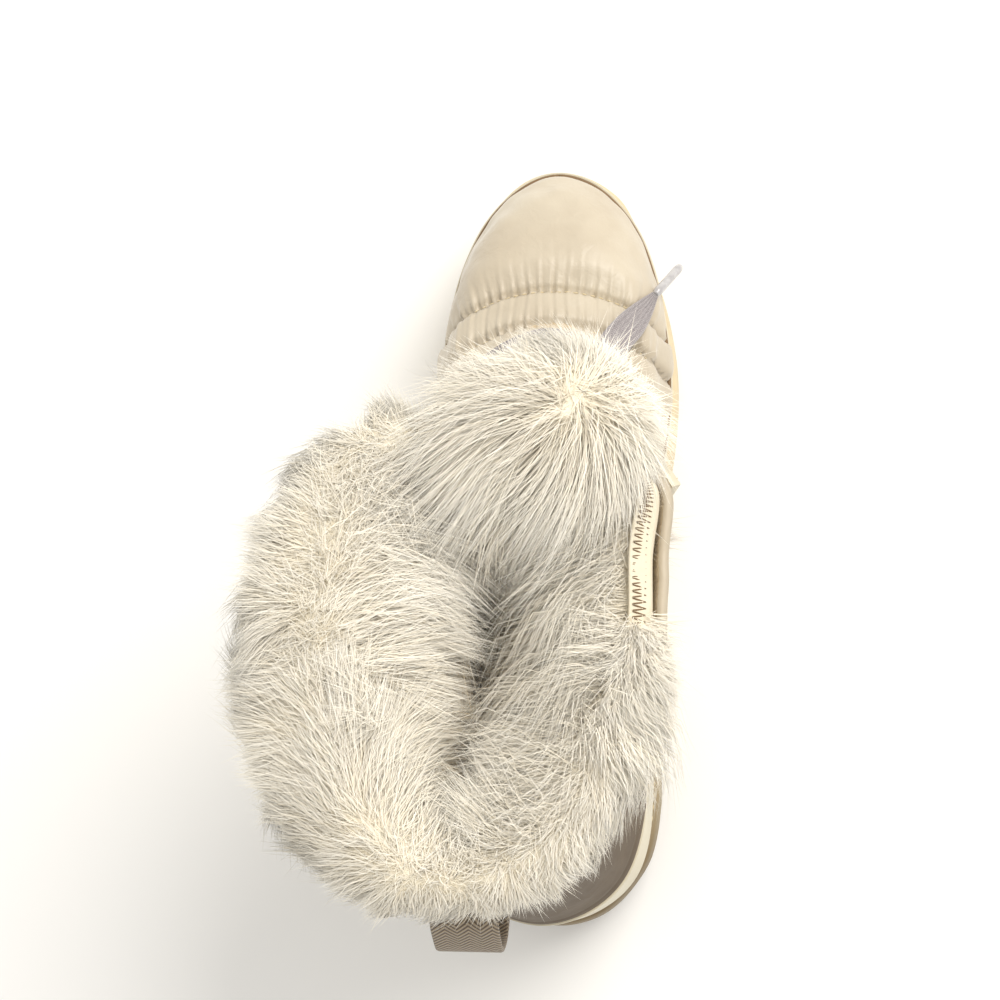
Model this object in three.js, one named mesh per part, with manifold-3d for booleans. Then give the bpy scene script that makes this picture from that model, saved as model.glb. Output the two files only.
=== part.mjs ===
// A left women's winter boot: lugged rubber outsole, foam cupsole, hollow quilted upper with a wide
// throat, overlays cut from the upper's own form, flat lace, and a deep pile collar and tongue top.
// X runs to the inner side of the foot, Y to the toe and Z up. The origin is on the ground under the heel.
import * as THREE from 'three';
import Module from 'manifold-3d';
import { mergeVertices } from 'three/addons/utils/BufferGeometryUtils.js';

const wasm = await Module();
wasm.setup();

// Driving dimensions, mm
const soleLength = 283;
const heelSetback = 38;
const ballWidth = 90;
const heelSeat = 26;
const ballSeat = 19;
const toeSpring = 11;
const heelBevel = 2.5;
const archLift = 4;
const instepHeight = 88;
const shaftHeight = 146;
const shaftLean = -20;
const wall = 3;
const clearance = 0.3;
const overlayThickness = 1.6;
const puffHeight = 3;
const seamDepth = 1.3;
const seamSag = 0.0078; // fall of a stitched line to the sides, per mm squared
const lugHeight = 4;
const plateThickness = 4;
const lugPitch = 15;
const lugWidth = 8;
const padRadius = 8;
const lipThickness = 2.6;
const lipHeight = 7;
const grooveDepth = 1.4;
const insoleThickness = 4;
const eyestayWidth = 13;
const tongueThickness = 4.5;
const tongueWidth = 62;
const tongueRise = 16;
const toeGuardHeight = 20;
const counterHeight = 104;
const stayHeight = 68;
const stayWidth = 50;
const loopWidth = 20;
const loopDrop = 35;
const loopReach = 14;
const loopLowZ = 133;
const loopBackY = 0.03746 * soleLength - heelSetback;
const loopCentreX = -18;
const webbing = 1.8;
const laceWidth = 11;
const laceThickness = 1.4;
const laceLoopLength = 8;
const laceLoopWidth = 10;
const laceLoopHeight = 5;
const leather = 1.2;
const laceRows = 4;
const agletRadius = 1.7;
const agletLength = 20;
const lockLength = 15;
const lockRadius = 5;
const tabHeight = 14;
const tabWidth = 8;
const tabThickness = 3;

const rearY = -heelSetback;
const around = 18; // segments from heel to toe on each side

// Half outline of the sole: place along its length, sweep of its centre line and half width,
// as shares of soleLength and ballWidth.
const soleTable = [
  { at: 0, centre: 0, half: 0 },
  { at: 0.016, centre: 0, half: 0.182 },
  { at: 0.053, centre: 0, half: 0.303 },
  { at: 0.092, centre: 0, half: 0.372 },
  { at: 0.16, centre: 0, half: 0.407 },
  { at: 0.22, centre: -0.008, half: 0.408 },
  { at: 0.31, centre: -0.03, half: 0.403 },
  { at: 0.417, centre: -0.05, half: 0.415 },
  { at: 0.52, centre: -0.044, half: 0.455 },
  { at: 0.63, centre: -0.028, half: 0.495 },
  { at: 0.714, centre: -0.02, half: 0.5 },
  { at: 0.784, centre: -0.022, half: 0.475 },
  { at: 0.845, centre: -0.021, half: 0.424 },
  { at: 0.887, centre: -0.018, half: 0.376 },
  { at: 0.929, centre: -0.017, half: 0.316 },
  { at: 0.965, centre: -0.017, half: 0.243 },
  { at: 1, centre: -0.03, half: 0 },
];

// Sections of the upper from the feather line to the collar. back and front are where the section
// starts and ends along soleLength; backUp and frontUp are its height above the foot bed, 1 at the
// instep and 2 at the collar; settle is how far it has left the foot bed's curve; w1 to w5 are its
// half widths, as shares of ballWidth, at the five places named in stations.
const stations = [0.06, 0.2, 0.45, 0.7, 0.9];
const upperTable = [
  { back: 0.0120, front: 0.9770, backUp: 0.170, frontUp: 0.176, settle: 0.2, w1: 0.317, w2: 0.376, w3: 0.389, w4: 0.456, w5: 0.344 },
  { back: 0.0113, front: 0.9576, backUp: 0.250, frontUp: 0.290, settle: 0.45, w1: 0.311, w2: 0.378, w3: 0.389, w4: 0.453, w5: 0.344 },
  { back: 0.0124, front: 0.9223, backUp: 0.318, frontUp: 0.386, settle: 0.7, w1: 0.300, w2: 0.372, w3: 0.383, w4: 0.428, w5: 0.328 },
  { back: 0.0141, front: 0.8728, backUp: 0.386, frontUp: 0.460, settle: 1, w1: 0.289, w2: 0.359, w3: 0.378, w4: 0.417, w5: 0.322 },
  { back: 0.0177, front: 0.8233, backUp: 0.455, frontUp: 0.494, settle: 1, w1: 0.276, w2: 0.344, w3: 0.372, w4: 0.400, w5: 0.317 },
  { back: 0.0212, front: 0.7809, backUp: 0.523, frontUp: 0.523, settle: 1, w1: 0.264, w2: 0.333, w3: 0.367, w4: 0.389, w5: 0.311 },
  { back: 0.0247, front: 0.7350, backUp: 0.602, frontUp: 0.580, settle: 1, w1: 0.253, w2: 0.322, w3: 0.359, w4: 0.376, w5: 0.300 },
  { back: 0.0283, front: 0.6890, backUp: 0.682, frontUp: 0.659, settle: 1, w1: 0.242, w2: 0.313, w3: 0.351, w4: 0.362, w5: 0.284 },
  { back: 0.0318, front: 0.6430, backUp: 0.773, frontUp: 0.756, settle: 1, w1: 0.233, w2: 0.307, w3: 0.344, w4: 0.350, w5: 0.270 },
  { back: 0.0353, front: 0.5970, backUp: 0.875, frontUp: 0.875, settle: 1, w1: 0.227, w2: 0.306, w3: 0.344, w4: 0.344, w5: 0.261 },
  { back: 0.0389, front: 0.5548, backUp: 0.989, frontUp: 1.017, settle: 1, w1: 0.224, w2: 0.311, w3: 0.356, w4: 0.350, w5: 0.256 },
  { back: 0.0417, front: 0.5190, backUp: 1.190, frontUp: 1.259, settle: 1, w1: 0.226, w2: 0.328, w3: 0.383, w4: 0.378, w5: 0.283 },
  { back: 0.0442, front: 0.4980, backUp: 1.431, frontUp: 1.517, settle: 1, w1: 0.231, w2: 0.353, w3: 0.428, w4: 0.428, w5: 0.333 },
  { back: 0.0470, front: 0.4980, backUp: 1.690, frontUp: 1.793, settle: 1, w1: 0.244, w2: 0.389, w3: 0.483, w4: 0.476, w5: 0.400 },
  { back: 0.0510, front: 0.5160, backUp: 2.000, frontUp: 2.086, settle: 1, w1: 0.261, w2: 0.428, w3: 0.544, w4: 0.522, w5: 0.467 },
];
const soleLevels = ['seat', 'lip']; // these two stand in the cupsole
const firstLevel = soleLevels.length;
const topLevel = firstLevel + upperTable.length - 1;

// Small helpers

function clamp01(t) {
  return Math.min(1, Math.max(0, t));
}

function ease(a, b, t) {
  const k = clamp01((t - a) / (b - a));
  return k * k * (3 - 2 * k);
}

// Smooth curve through rows of [place, value]
function through(pairs, at) {
  let i = 0;
  while (i < pairs.length - 2 && at > pairs[i + 1][0]) i++;
  const [x0, y0] = pairs[i];
  const [x1, y1] = pairs[i + 1];
  const slope = (k) => {
    const a = pairs[Math.max(0, k - 1)];
    const b = pairs[Math.min(pairs.length - 1, k + 1)];
    return (b[1] - a[1]) / (b[0] - a[0]);
  };
  const h = x1 - x0;
  const t = clamp01((at - x0) / h);
  const t2 = t * t;
  const t3 = t2 * t;
  return (2 * t3 - 3 * t2 + 1) * y0 + (t3 - 2 * t2 + t) * h * slope(i)
    + (3 * t2 - 2 * t3) * y1 + (t3 - t2) * h * slope(i + 1);
}

// A place along a section, 0 at the back and 1 at the front, as the angle that spaces points evenly round it
function angleAt(share) {
  return Math.acos(1 - 2 * clamp01(share));
}

function shareAt(angle) {
  return (1 - Math.cos(angle)) / 2;
}

// Closed solid from rings of points, lowest first. 'ladder' caps join the two sides of a ring straight
// across, and 'fan' caps turn round its middle.
function loft(rings, caps) {
  const n = rings[0].length;
  const points = rings.flat();
  const faces = [];
  for (let k = 0; k < rings.length - 1; k++) {
    for (let j = 0; j < n; j++) {
      const a = k * n + j;
      const b = k * n + (j + 1) % n;
      faces.push([a, b, b + n], [a, b + n, a + n]);
    }
  }
  const last = (rings.length - 1) * n;
  if (caps === 'ladder') {
    for (let j = 0; j < n / 2; j++) {
      const far = (n - j) % n;
      const near = n - j - 1;
      if (j > 0) faces.push([j, far, near], [last + j, last + near, last + far]);
      if (j < n / 2 - 1) faces.push([j, near, j + 1], [last + j, last + j + 1, last + near]);
    }
  } else {
    const low = points.length;
    points.push(middle(rings[0]), middle(rings[rings.length - 1]));
    for (let j = 0; j < n; j++) {
      const next = (j + 1) % n;
      faces.push([low, next, j], [low + 1, last + j, last + next]);
    }
  }
  return solidFrom(points, faces);
}

function middle(ring) {
  const sum = new THREE.Vector3();
  ring.forEach((p) => sum.add(p));
  return sum.divideScalar(ring.length);
}

function solidFrom(points, faces) {
  const vertProperties = new Float32Array(points.flatMap((p) => [p.x, p.y, p.z]));
  const triVerts = new Uint32Array(faces.flat());
  return new wasm.Manifold(new wasm.Mesh({ numProp: 3, vertProperties, triVerts }));
}

function solidOf(geometry) {
  const bare = geometry.clone();
  bare.deleteAttribute('normal');
  bare.deleteAttribute('uv');
  const merged = mergeVertices(bare, 1e-4);
  const mesh = new wasm.Mesh({
    numProp: 3,
    vertProperties: new Float32Array(merged.attributes.position.array),
    triVerts: new Uint32Array(merged.index.array),
  });
  return new wasm.Manifold(mesh);
}

function geometryOf(solid) {
  const mesh = solid.getMesh();
  const places = new Float32Array(mesh.numVert * 3);
  for (let i = 0; i < mesh.numVert; i++) {
    for (let k = 0; k < 3; k++) places[3 * i + k] = mesh.vertProperties[i * mesh.numProp + k];
  }
  const geometry = new THREE.BufferGeometry();
  geometry.setAttribute('position', new THREE.BufferAttribute(places, 3));
  geometry.setIndex(new THREE.BufferAttribute(new Uint32Array(mesh.triVerts), 1));
  geometry.computeVertexNormals();
  return geometry;
}

// A prism standing on a plan outline of [x, y] pairs
function uprightPrism(outline, low, high) {
  const shape = new THREE.Shape(outline.map(([x, y]) => new THREE.Vector2(x, y)));
  const geometry = new THREE.ExtrudeGeometry(shape, { depth: high - low, bevelEnabled: false });
  return solidOf(geometry.translate(0, 0, low));
}

// A prism across the boot, from a side outline of [y, z] pairs
function crossPrism(outline, halfSpan) {
  const shape = new THREE.Shape(outline.map(([y, z]) => new THREE.Vector2(y, z)));
  const geometry = new THREE.ExtrudeGeometry(shape, { depth: 2 * halfSpan, bevelEnabled: false });
  geometry.translate(0, 0, -halfSpan);
  geometry.applyMatrix4(new THREE.Matrix4().makeBasis(
    new THREE.Vector3(0, 1, 0), new THREE.Vector3(0, 0, 1), new THREE.Vector3(1, 0, 0)));
  return solidOf(geometry);
}

// Sole lines along Y

const share = (y) => clamp01((y - rearY) / soleLength);
const placeY = (s) => rearY + s * soleLength;

// Underside of the lugs above the ground
function lift(y) {
  const s = share(y);
  const arch = ease(0.33, 0.4, s) * (1 - ease(0.49, 0.55, s));
  return heelBevel * (1 - ease(0, 0.07, s)) + archLift * arch + toeSpring * ease(0.74, 1.03, s) ** 1.2;
}

// Foot bed above the ground
function seat(y) {
  const s = share(y);
  return heelSeat + (ballSeat - heelSeat) * ease(0.2, 0.66, s) + toeSpring * ease(0.72, 1.03, s) ** 1.2;
}

const soleHalf = soleTable.map((row) => [angleAt(row.at), row.half]);
const soleCentre = soleTable.map((row) => [row.at, row.centre]);
const centreLine = (y) => ballWidth * through(soleCentre, share(y));

// Plan outline of the sole, drawn in by inset all round, at the height that rise gives
function soleRing(inset, rise) {
  const outline = [];
  for (let j = 0; j < 2 * around; j++) {
    const side = j <= around ? 1 : -1;
    const angle = Math.PI * (side > 0 ? j : 2 * around - j) / around;
    const y = placeY(shareAt(angle));
    const half = j % around === 0 ? 0 : ballWidth * through(soleHalf, angle);
    outline.push(new THREE.Vector3(centreLine(y) + side * half, y, 0));
  }
  return outline.map((point, j) => {
    const next = outline[(j + 1) % outline.length];
    const last = outline[(j + outline.length - 1) % outline.length];
    const inward = new THREE.Vector3(last.y - next.y, next.x - last.x, 0).normalize();
    const moved = point.clone().addScaledVector(inward, inset);
    return moved.setZ(rise(moved.y));
  });
}

// The upper's form

const footInset = lipThickness + overlayThickness + 2 * clearance + 1.4;

// Heights in the table are 1 at the instep and 2 at the collar.
function heightOf(up) {
  return up <= 1 ? up * instepHeight : instepHeight + (up - 1) * (shaftHeight - instepHeight);
}

function levelRing(level) {
  if (level < firstLevel) return soleRing(footInset, (y) => seat(y) + level * lipHeight);
  const row = upperTable[level - firstLevel];
  const profile = [[0, 0], ...stations.map((s, i) => [angleAt(s), row['w' + (i + 1)]]), [Math.PI, 0]];
  const start = placeY(row.back);
  const end = placeY(row.front);
  const ring = [];
  for (let j = 0; j < 2 * around; j++) {
    const side = j <= around ? 1 : -1;
    const angle = Math.PI * (side > 0 ? j : 2 * around - j) / around;
    const along = shareAt(angle);
    const y = start + along * (end - start);
    const rise = heightOf(row.backUp) * (1 - along) + heightOf(row.frontUp) * along;
    const bed = seat(y) * (1 - row.settle) + heelSeat * row.settle;
    const lean = shaftLean * (1 - along) * clamp01(rise / shaftHeight) ** 1.1;
    const half = j % around === 0 ? 0 : ballWidth * through(profile, angle);
    const sweep = centreLine(y) * (1 - 0.8 * clamp01((rise - instepHeight / 2) / shaftHeight));
    ring.push(new THREE.Vector3(sweep + lean + side * half, y, bed + rise));
  }
  return ring;
}

const bareRings = Array.from({ length: topLevel + 1 }, (_, level) => levelRing(level));

function normalAt(level, j) {
  const n = 2 * around;
  const along = bareRings[level][(j + 1) % n].clone().sub(bareRings[level][(j + n - 1) % n]);
  const up = bareRings[Math.min(topLevel, level + 1)][j].clone()
    .sub(bareRings[Math.max(0, level - 1)][j]);
  const normal = along.cross(up).normalize();
  if (level <= 1 || level === topLevel) normal.setZ(0).normalize();
  return normal;
}

const normals = bareRings.map((ring, level) => ring.map((_, j) => normalAt(level, j)));

// Stitched lines of the vamp, as places along its centre line that fall back to the sides
const seamPlaces = [0.79, 0.738].map(placeY);
const seamPlace = (point) => point.y + seamSag * (point.x - centreLine(point.y)) ** 2;

// Outward swell of the padded vamp and quarters
function puff(point) {
  const base = seat(point.y) + toeGuardHeight;
  const high = ease(base, base + 16, point.z);
  const place = seamPlace(point);
  const toePanel = ease(seamPlaces[0], seamPlaces[0] + 12, place) * (1 - ease(placeY(0.93), placeY(1), place));
  const quarters = 0.3 * ease(seamPlaces[1], seamPlaces[1] - 20, place);
  return puffHeight * high * Math.max(toePanel, quarters);
}

const puffs = bareRings.map((ring, level) => ring.map((point) => (level > 1 ? puff(point) : 0)));

// The upper's form as a closed solid, moved out by offset, its ends lengthened by drop and rise
function form(offset, drop, rise, step = 1) {
  const levels = bareRings.map((_, level) => level)
    .filter((level) => level < 2 || level === topLevel || level % step === 0);
  const rings = levels.map((level) => bareRings[level].map((point, j) => {
    const swell = offset >= 0 ? puffs[level][j] : 0;
    return point.clone().addScaledVector(normals[level][j], offset + swell);
  }).filter((_, j) => j % step === 0));
  if (drop > 0) rings.unshift(rings[0].map((p) => p.clone().setZ(p.z - drop)));
  if (rise > 0) {
    rings.push(rings[rings.length - 1].map((p, j) => p.clone()
      .addScaledVector(normals[topLevel][j * step], rise * 0.2).setZ(p.z + rise)));
  }
  return loft(rings, 'ladder');
}

const hollow = (inset, drop, rise) => form(-wall - inset, drop, rise, 2);

// A point on the form at a level and an angle from the heel, moved out by offset
function onForm(level, angle, side, offset) {
  const step = angle / Math.PI * around;
  const corner = (l, k) => {
    const j = side > 0 ? k : (2 * around - k) % (2 * around);
    return bareRings[l][j].clone().addScaledVector(normals[l][j], offset + puffs[l][j]);
  };
  const l0 = Math.min(topLevel - 1, Math.floor(level));
  const k0 = Math.min(around - 1, Math.floor(step));
  const low = corner(l0, k0).lerp(corner(l0, k0 + 1), step - k0);
  const high = corner(l0 + 1, k0).lerp(corner(l0 + 1, k0 + 1), step - k0);
  return low.lerp(high, level - l0);
}

function outward(level, angle, side) {
  return onForm(level, angle, side, 1).sub(onForm(level, angle, side, 0)).normalize();
}

// The angle on a level where measure(point) reaches a value; measure grows towards the toe
function angleWhere(level, side, measure, value, from = 0) {
  let low = from;
  let high = Math.PI;
  for (let i = 0; i < 24; i++) {
    const half = (low + high) / 2;
    if (measure(onForm(level, half, side, 0)) < value) low = half;
    else high = half;
  }
  return (low + high) / 2;
}

// A band with a four-sided section along a list of points. faces gives the way its flat side looks at
// each point; halfAcross is one half width or one for each point.
function band(points, faces, halfAcross, halfThrough) {
  const rings = points.map((point, i) => {
    const next = points[Math.min(points.length - 1, i + 1)];
    const last = points[Math.max(0, i - 1)];
    const along = next.clone().sub(last).normalize();
    const across = faces[i].clone().cross(along).normalize();
    const through = along.clone().cross(across).normalize();
    const half = Array.isArray(halfAcross) ? halfAcross[i] : halfAcross;
    const corner = (u, v) => point.clone().addScaledVector(across, u * half)
      .addScaledVector(through, v * halfThrough);
    return [corner(-1, -1), corner(1, -1), corner(1, 1), corner(-1, 1)];
  });
  return loft(rings, 'fan');
}

const levelGap = 16; // between sections at the collar
const collarBackY = bareRings[topLevel][0].y;
const tongueTopY = bareRings[topLevel][around].y - wall - clearance + tongueRise * 0.2;
const tongueTopZ = bareRings[topLevel][around].z + tongueRise;

// Throat: half widths of the slot by level, from its rounded end on the vamp to the collar
const throatTable = [
  { level: 8.5, half: 6 }, { level: 8.62, half: 9.5 }, { level: 8.85, half: 12 }, { level: 9.3, half: 13 },
  { level: 10, half: 14 }, { level: 11, half: 16 }, { level: 12, half: 19 }, { level: 13, half: 22 },
  { level: 14, half: 26 }, { level: 15, half: 31 }, { level: 16, half: 36 },
];
const throatRows = throatTable.map((row) => [row.level, row.half]);
const ridgeAt = (level) => onForm(level, Math.PI, 1, 0);

// A solid along the throat, wider than the slot by extra and no wider than cap, longer at its low end
function throatSolid(extra, cap, longer, deep) {
  const points = throatTable.map((row) => ridgeAt(row.level));
  const faces = throatTable.map((row) => outward(row.level, Math.PI, 1).setX(0).normalize());
  const halves = throatTable.map((row) => Math.min(cap, row.half + extra));
  const start = points[0].clone().sub(points[2]).normalize().multiplyScalar(longer).add(points[0]);
  const end = points[points.length - 1].clone().add(new THREE.Vector3(0, 2, 40));
  const size = (list) => [list[0], ...list, list[list.length - 1]];
  return band([start, ...points, end], size(faces), size(halves), deep);
}

// The angle beside the slot at a level, beyond its edge
function besideThroat(level, side, beyond) {
  const x = ridgeAt(level).x;
  const half = through(throatRows, level) + beyond;
  return angleWhere(level, side, (point) => -Math.abs(point.x - x), -half, Math.PI / 2);
}

// The angle that is a distance further back along a level
function awayFrom(level, angle, side, distance) {
  const start = onForm(level, angle, side, 0);
  let far = angle;
  while (far > 0.3 && onForm(level, far, side, 0).distanceTo(start) < distance) far -= 0.02;
  return far;
}

// Lower pieces

function buildOutsole() {
  const plateLow = (y) => lift(y) + lugHeight;
  const plate = loft([
    soleRing(3, plateLow),
    soleRing(1.6, (y) => plateLow(y) + plateThickness / 3),
    soleRing(1.4, (y) => plateLow(y) + plateThickness),
  ], 'ladder');
  const blocks = [];
  const halfAt = (y) => ballWidth * through(soleHalf, angleAt(share(y)));
  const block = (corners) => {
    const low = corners.map(([x, y]) => new THREE.Vector3(x, y, lift(y)));
    const high = corners.map(([x, y]) => new THREE.Vector3(x, y, lift(y) + lugHeight + plateThickness / 2));
    return loft([low, high], 'fan');
  };
  const rows = Math.floor((soleLength - lugWidth) / lugPitch);
  for (let i = 0; i < rows; i++) {
    const middleY = rearY + lugWidth + i * lugPitch;
    const y = middleY - lugWidth / 2;
    const heelPart = share(y) < 0.36;
    const archPart = !heelPart && share(y) < 0.52;
    const sweep = heelPart ? 3 : -4;
    for (const side of [1, -1]) {
      const c = centreLine(y);
      const inside = padRadius + 3;
      const outside = Math.min(halfAt(y - sweep), halfAt(y + lugWidth - sweep)) - 4;
      const reach = archPart ? (inside + outside) / 2 : outside;
      if (reach - inside < 5) continue;
      const ring = [
        [c + side * inside, y], [c + side * reach, y - sweep],
        [c + side * reach, y - sweep + lugWidth], [c + side * inside, y + lugWidth]];
      blocks.push(block(side > 0 ? ring : ring.reverse()));
    }
    const pad = [];
    for (let k = 0; k < 4; k++) {
      const a = Math.PI * (k + 0.5) / 2;
      const r = padRadius * (i % 2 ? 0.75 : 1);
      pad.push([centreLine(middleY) + r * Math.cos(a), middleY + 0.75 * r * Math.sin(a)]);
    }
    blocks.push(block(pad));
  }
  return wasm.Manifold.union([plate, ...blocks]);
}

// Foam cupsole: a stepped side with one groove, and a lip that stands round the upper
function buildMidsole() {
  const low = (y) => lift(y) + lugHeight + plateThickness + clearance;
  const top = (y) => seat(y) + lipHeight;
  const at = (k) => (y) => low(y) + (top(y) - low(y)) * k;
  const body = loft([
    soleRing(2.2, at(0)),
    soleRing(0.4, at(0.1)),
    soleRing(0, at(0.5)),
    soleRing(grooveDepth, at(0.55)),
    soleRing(grooveDepth, at(0.61)),
    soleRing(0.2, at(0.67)),
    soleRing(0.6, at(0.92)),
    soleRing(1.4, at(1)),
  ], 'ladder');
  return body.subtract(form(overlayThickness + 2 * clearance, clearance, 0));
}

function buildInsole() {
  const edge = (inset, z) => bareRings[0].map((p, j) => p.clone()
    .addScaledVector(normals[0][j], -inset).setZ(seat(p.y) + z)).filter((_, j) => j % 2 === 0);
  const inset = wall + clearance;
  const base = 2 * clearance;
  const top = base + insoleThickness;
  return loft([edge(inset, base), edge(inset, top - 1), edge(inset + 1, top)], 'ladder');
}

// Upper: a hollow shell open underneath, at the throat and at the collar, with stitched lines sunk in it

function seamAcross(place) {
  let ridge = firstLevel;
  while (ridge < topLevel - 1 && onForm(ridge, Math.PI, 1, 0).y > place) ridge += 0.1;
  const sides = [1, -1].map((side) => {
    const list = [];
    for (let level = ridge - 0.1; level >= firstLevel + 0.5; level -= level > ridge - 1 ? 0.25 : 0.5) {
      const angle = angleWhere(level, side, seamPlace, place);
      list.push({ point: onForm(level, angle, side, 0), face: outward(level, angle, side) });
    }
    return list;
  });
  const [right, left] = sides;
  return [...right.reverse(), ...left];
}

function seamAlong(level, side, from, to, steps) {
  return Array.from({ length: steps + 1 }, (_, i) => {
    const angle = Math.PI * (from + (to - from) * i / steps);
    return { point: onForm(level, angle, side, 0), face: outward(level, angle, side) };
  });
}

function groove(line) {
  return band(line.map((s) => s.point), line.map((s) => s.face.clone()), seamDepth, seamDepth);
}

function buildUpper() {
  const shell = form(0, 0, 0).subtract(hollow(0, 2, 4));
  const throat = throatSolid(0, ballWidth, 0, wall * 5);
  const lines = seamPlaces.map(seamAcross);
  for (const side of [1, -1]) {
    lines.push(seamAlong(10.5, side, 0.3, 0.76, 7));
  }
  return shell.subtract(wasm.Manifold.union([throat, ...lines.map(groove)]));
}

// Overlays: a layer on the upper's form, cut to its outline

function layer(drop) {
  return form(clearance + overlayThickness, drop, 0).subtract(form(clearance, drop + 2, 4));
}

const foxingTop = [
  [-0.1, 34], [0.05, 34], [0.16, 30], [0.3, 23], [0.5, 20], [0.72, 20], [0.88, 18], [1.1, 18]];
const foxingEdge = (s, gap) => [placeY(s), seat(placeY(s)) + through(foxingTop, s) + gap];

function buildFoxing() {
  const shares = Array.from({ length: 13 }, (_, i) => -0.05 + 1.1 * i / 12);
  const edge = shares.map((s) => foxingEdge(s, 0));
  const region = crossPrism([[edge[0][0], 0], [edge[12][0], 0], ...edge.reverse()], 90);
  return layer(0).intersect(region);
}

function buildCounter() {
  const low = [-0.05, 0.03, 0.11, 0.2].map((s) => foxingEdge(s, 2 * clearance));
  const high = [[0.17, 62], [0.13, 84], [0.1, 94], [0.06, counterHeight], [-0.05, counterHeight]]
    .map(([s, z]) => [placeY(s), heelSeat + z]);
  return layer(0).intersect(crossPrism([...low, ...high], 90));
}

// Facings either side of the throat
function buildEyestay(side) {
  const levels = [8.9, 9.5, 10, 11, 12, 13, 14, 15];
  const rings = levels.map((level) => {
    const near = besideThroat(level, side, 1.2);
    const far = awayFrom(level, near, side, eyestayWidth);
    const at = (angle, offset) => onForm(level, angle, side, offset);
    const ring = [at(far, -1), at((far + near) / 2, -1), at(near, -1),
      at(near, 4), at((far + near) / 2, 4), at(far, 4)];
    return side > 0 ? ring.reverse() : ring;
  });
  return layer(0).intersect(loft(rings, 'fan'));
}

function buildTongue() {
  const outer = hollow(clearance, 0, tongueRise);
  const inner = hollow(clearance + tongueThickness, 4, tongueRise + 4);
  return outer.subtract(inner).intersect(throatSolid(5, tongueWidth / 2, 14, 20));
}

// Lace loops: a small tunnel of leather on the facing, open along the throat

const loopRows = [9.15, 10.2, 11.25, 12.3];
const loopSeat = clearance + overlayThickness + 2 * clearance;

function loopFrame(level, side) {
  const angle = awayFrom(level, besideThroat(level, side, 1.2), side, eyestayWidth / 2);
  const face = outward(level, angle, side);
  const up = onForm(level + 0.4, angle, side, 0).sub(onForm(level - 0.4, angle, side, 0)).normalize();
  const across = face.clone().cross(up).normalize();
  const origin = onForm(level, angle, side, loopSeat);
  return { origin, face, up: across.clone().cross(face).normalize(), across };
}

function laceLoop(level, side, grow) {
  const { origin, face, up, across } = loopFrame(level, side);
  const half = laceLoopWidth / 2 + grow;
  const high = laceLoopHeight + grow;
  const shape = new THREE.Shape();
  [[half, -grow], [half, high - 1.6], [half - 1.6, high], [1.6 - half, high], [-half, high - 1.6],
    [-half, -grow]].forEach(([x, y]) => shape.lineTo(x, y));
  const inner = half - leather - 2 * grow;
  const hole = new THREE.Path();
  [[inner, leather + grow], [inner, high - leather - 2 * grow], [-inner, high - leather - 2 * grow],
    [-inner, leather + grow]].forEach(([x, y]) => hole.lineTo(x, y));
  shape.holes.push(hole);
  const length = laceLoopLength + 2 * grow;
  const geometry = new THREE.ExtrudeGeometry(shape, { depth: length, bevelEnabled: false });
  geometry.translate(0, 0, -length / 2);
  const frame = new THREE.Matrix4().makeBasis(across, face, up).setPosition(origin);
  return solidOf(geometry.applyMatrix4(frame));
}

// Flat lace through the loops, crossing over the tongue, with one straight bar at the lowest row
function buildLacing() {
  const inLoop = (level, side, shift, lift = 0) => {
    const { origin, face, up } = loopFrame(level, side);
    const point = origin.clone().addScaledVector(face, laceLoopHeight / 2 + lift);
    return { point: point.addScaledVector(up, shift), face };
  };
  const over = (level, offset) => ({
    point: onForm(level, Math.PI, 1, offset),
    face: outward(level, Math.PI, 1).setX(0).normalize(),
  });
  const strand = (list, widths) => band(list.map((s) => s.point), list.map((s) => s.face.clone()),
    widths, laceThickness / 2);
  const slim = laceLoopWidth / 2 - leather - 0.9;
  const wide = 0.36 * laceWidth;
  const end = laceLoopLength / 2;
  const bar = (from, middle, to) => {
    const part = (a, k) => ({
      point: a.point.clone().lerp(middle.point, k).addScaledVector(middle.face, 1.8),
      face: a.face.clone().lerp(middle.face, k).normalize(),
    });
    return strand([from, part(from, 0.45), middle, part(to, 0.45), to], [1.6, wide, wide, wide, 1.6]);
  };
  const strands = [bar(inLoop(loopRows[0], -1, -end - 3, 1), over(loopRows[0] - 0.32, 7.2),
    inLoop(loopRows[0], 1, -end - 3, 1))];
  for (let row = 0; row + 1 < laceRows; row++) {
    for (const side of [1, -1]) {
      strands.push(bar(inLoop(loopRows[row], side, end + 3, 1),
        over((loopRows[row] + loopRows[row + 1]) / 2, side > 0 ? 7 : 8),
        inLoop(loopRows[row + 1], -side, -end - 3, 1)));
    }
  }
  for (const side of [1, -1]) {
    for (const level of loopRows) {
      const last = level === loopRows[laceRows - 1] ? 1 : 3.4;
      strands.push(strand([inLoop(level, side, -end - 3.4), inLoop(level, side, end + last)], [slim, slim]));
    }
  }
  const loops = [1, -1].flatMap((side) => loopRows.map((level) => laceLoop(level, side, clearance)));
  return largest(wasm.Manifold.union(strands).subtract(wasm.Manifold.union(loops)));
}

// The loose end of the lace, from the top loop on the inner side, and the sleeve on its tip
const endPath = [
  [27.2, 99.5, 128.5, 2.2], [29.5, 105, 134, 3.2], [28.5, 113, 135, 4.4], [24, 122, 129, 5.2],
  [19, 132, 118.5, 5.5], [16.5, 142, 108.5, 5.5], [18, 151.5, 99, 5.5], [22.2, 162, 87.5, 5.5],
  [27.2, 171.5, 76.5, 5.2], [31.6, 181, 64.8, 3.4], [34.5, 187.7, 57, 1.5],
];

const agletAim = new THREE.Vector3(11.9, 18.1, -13);

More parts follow.
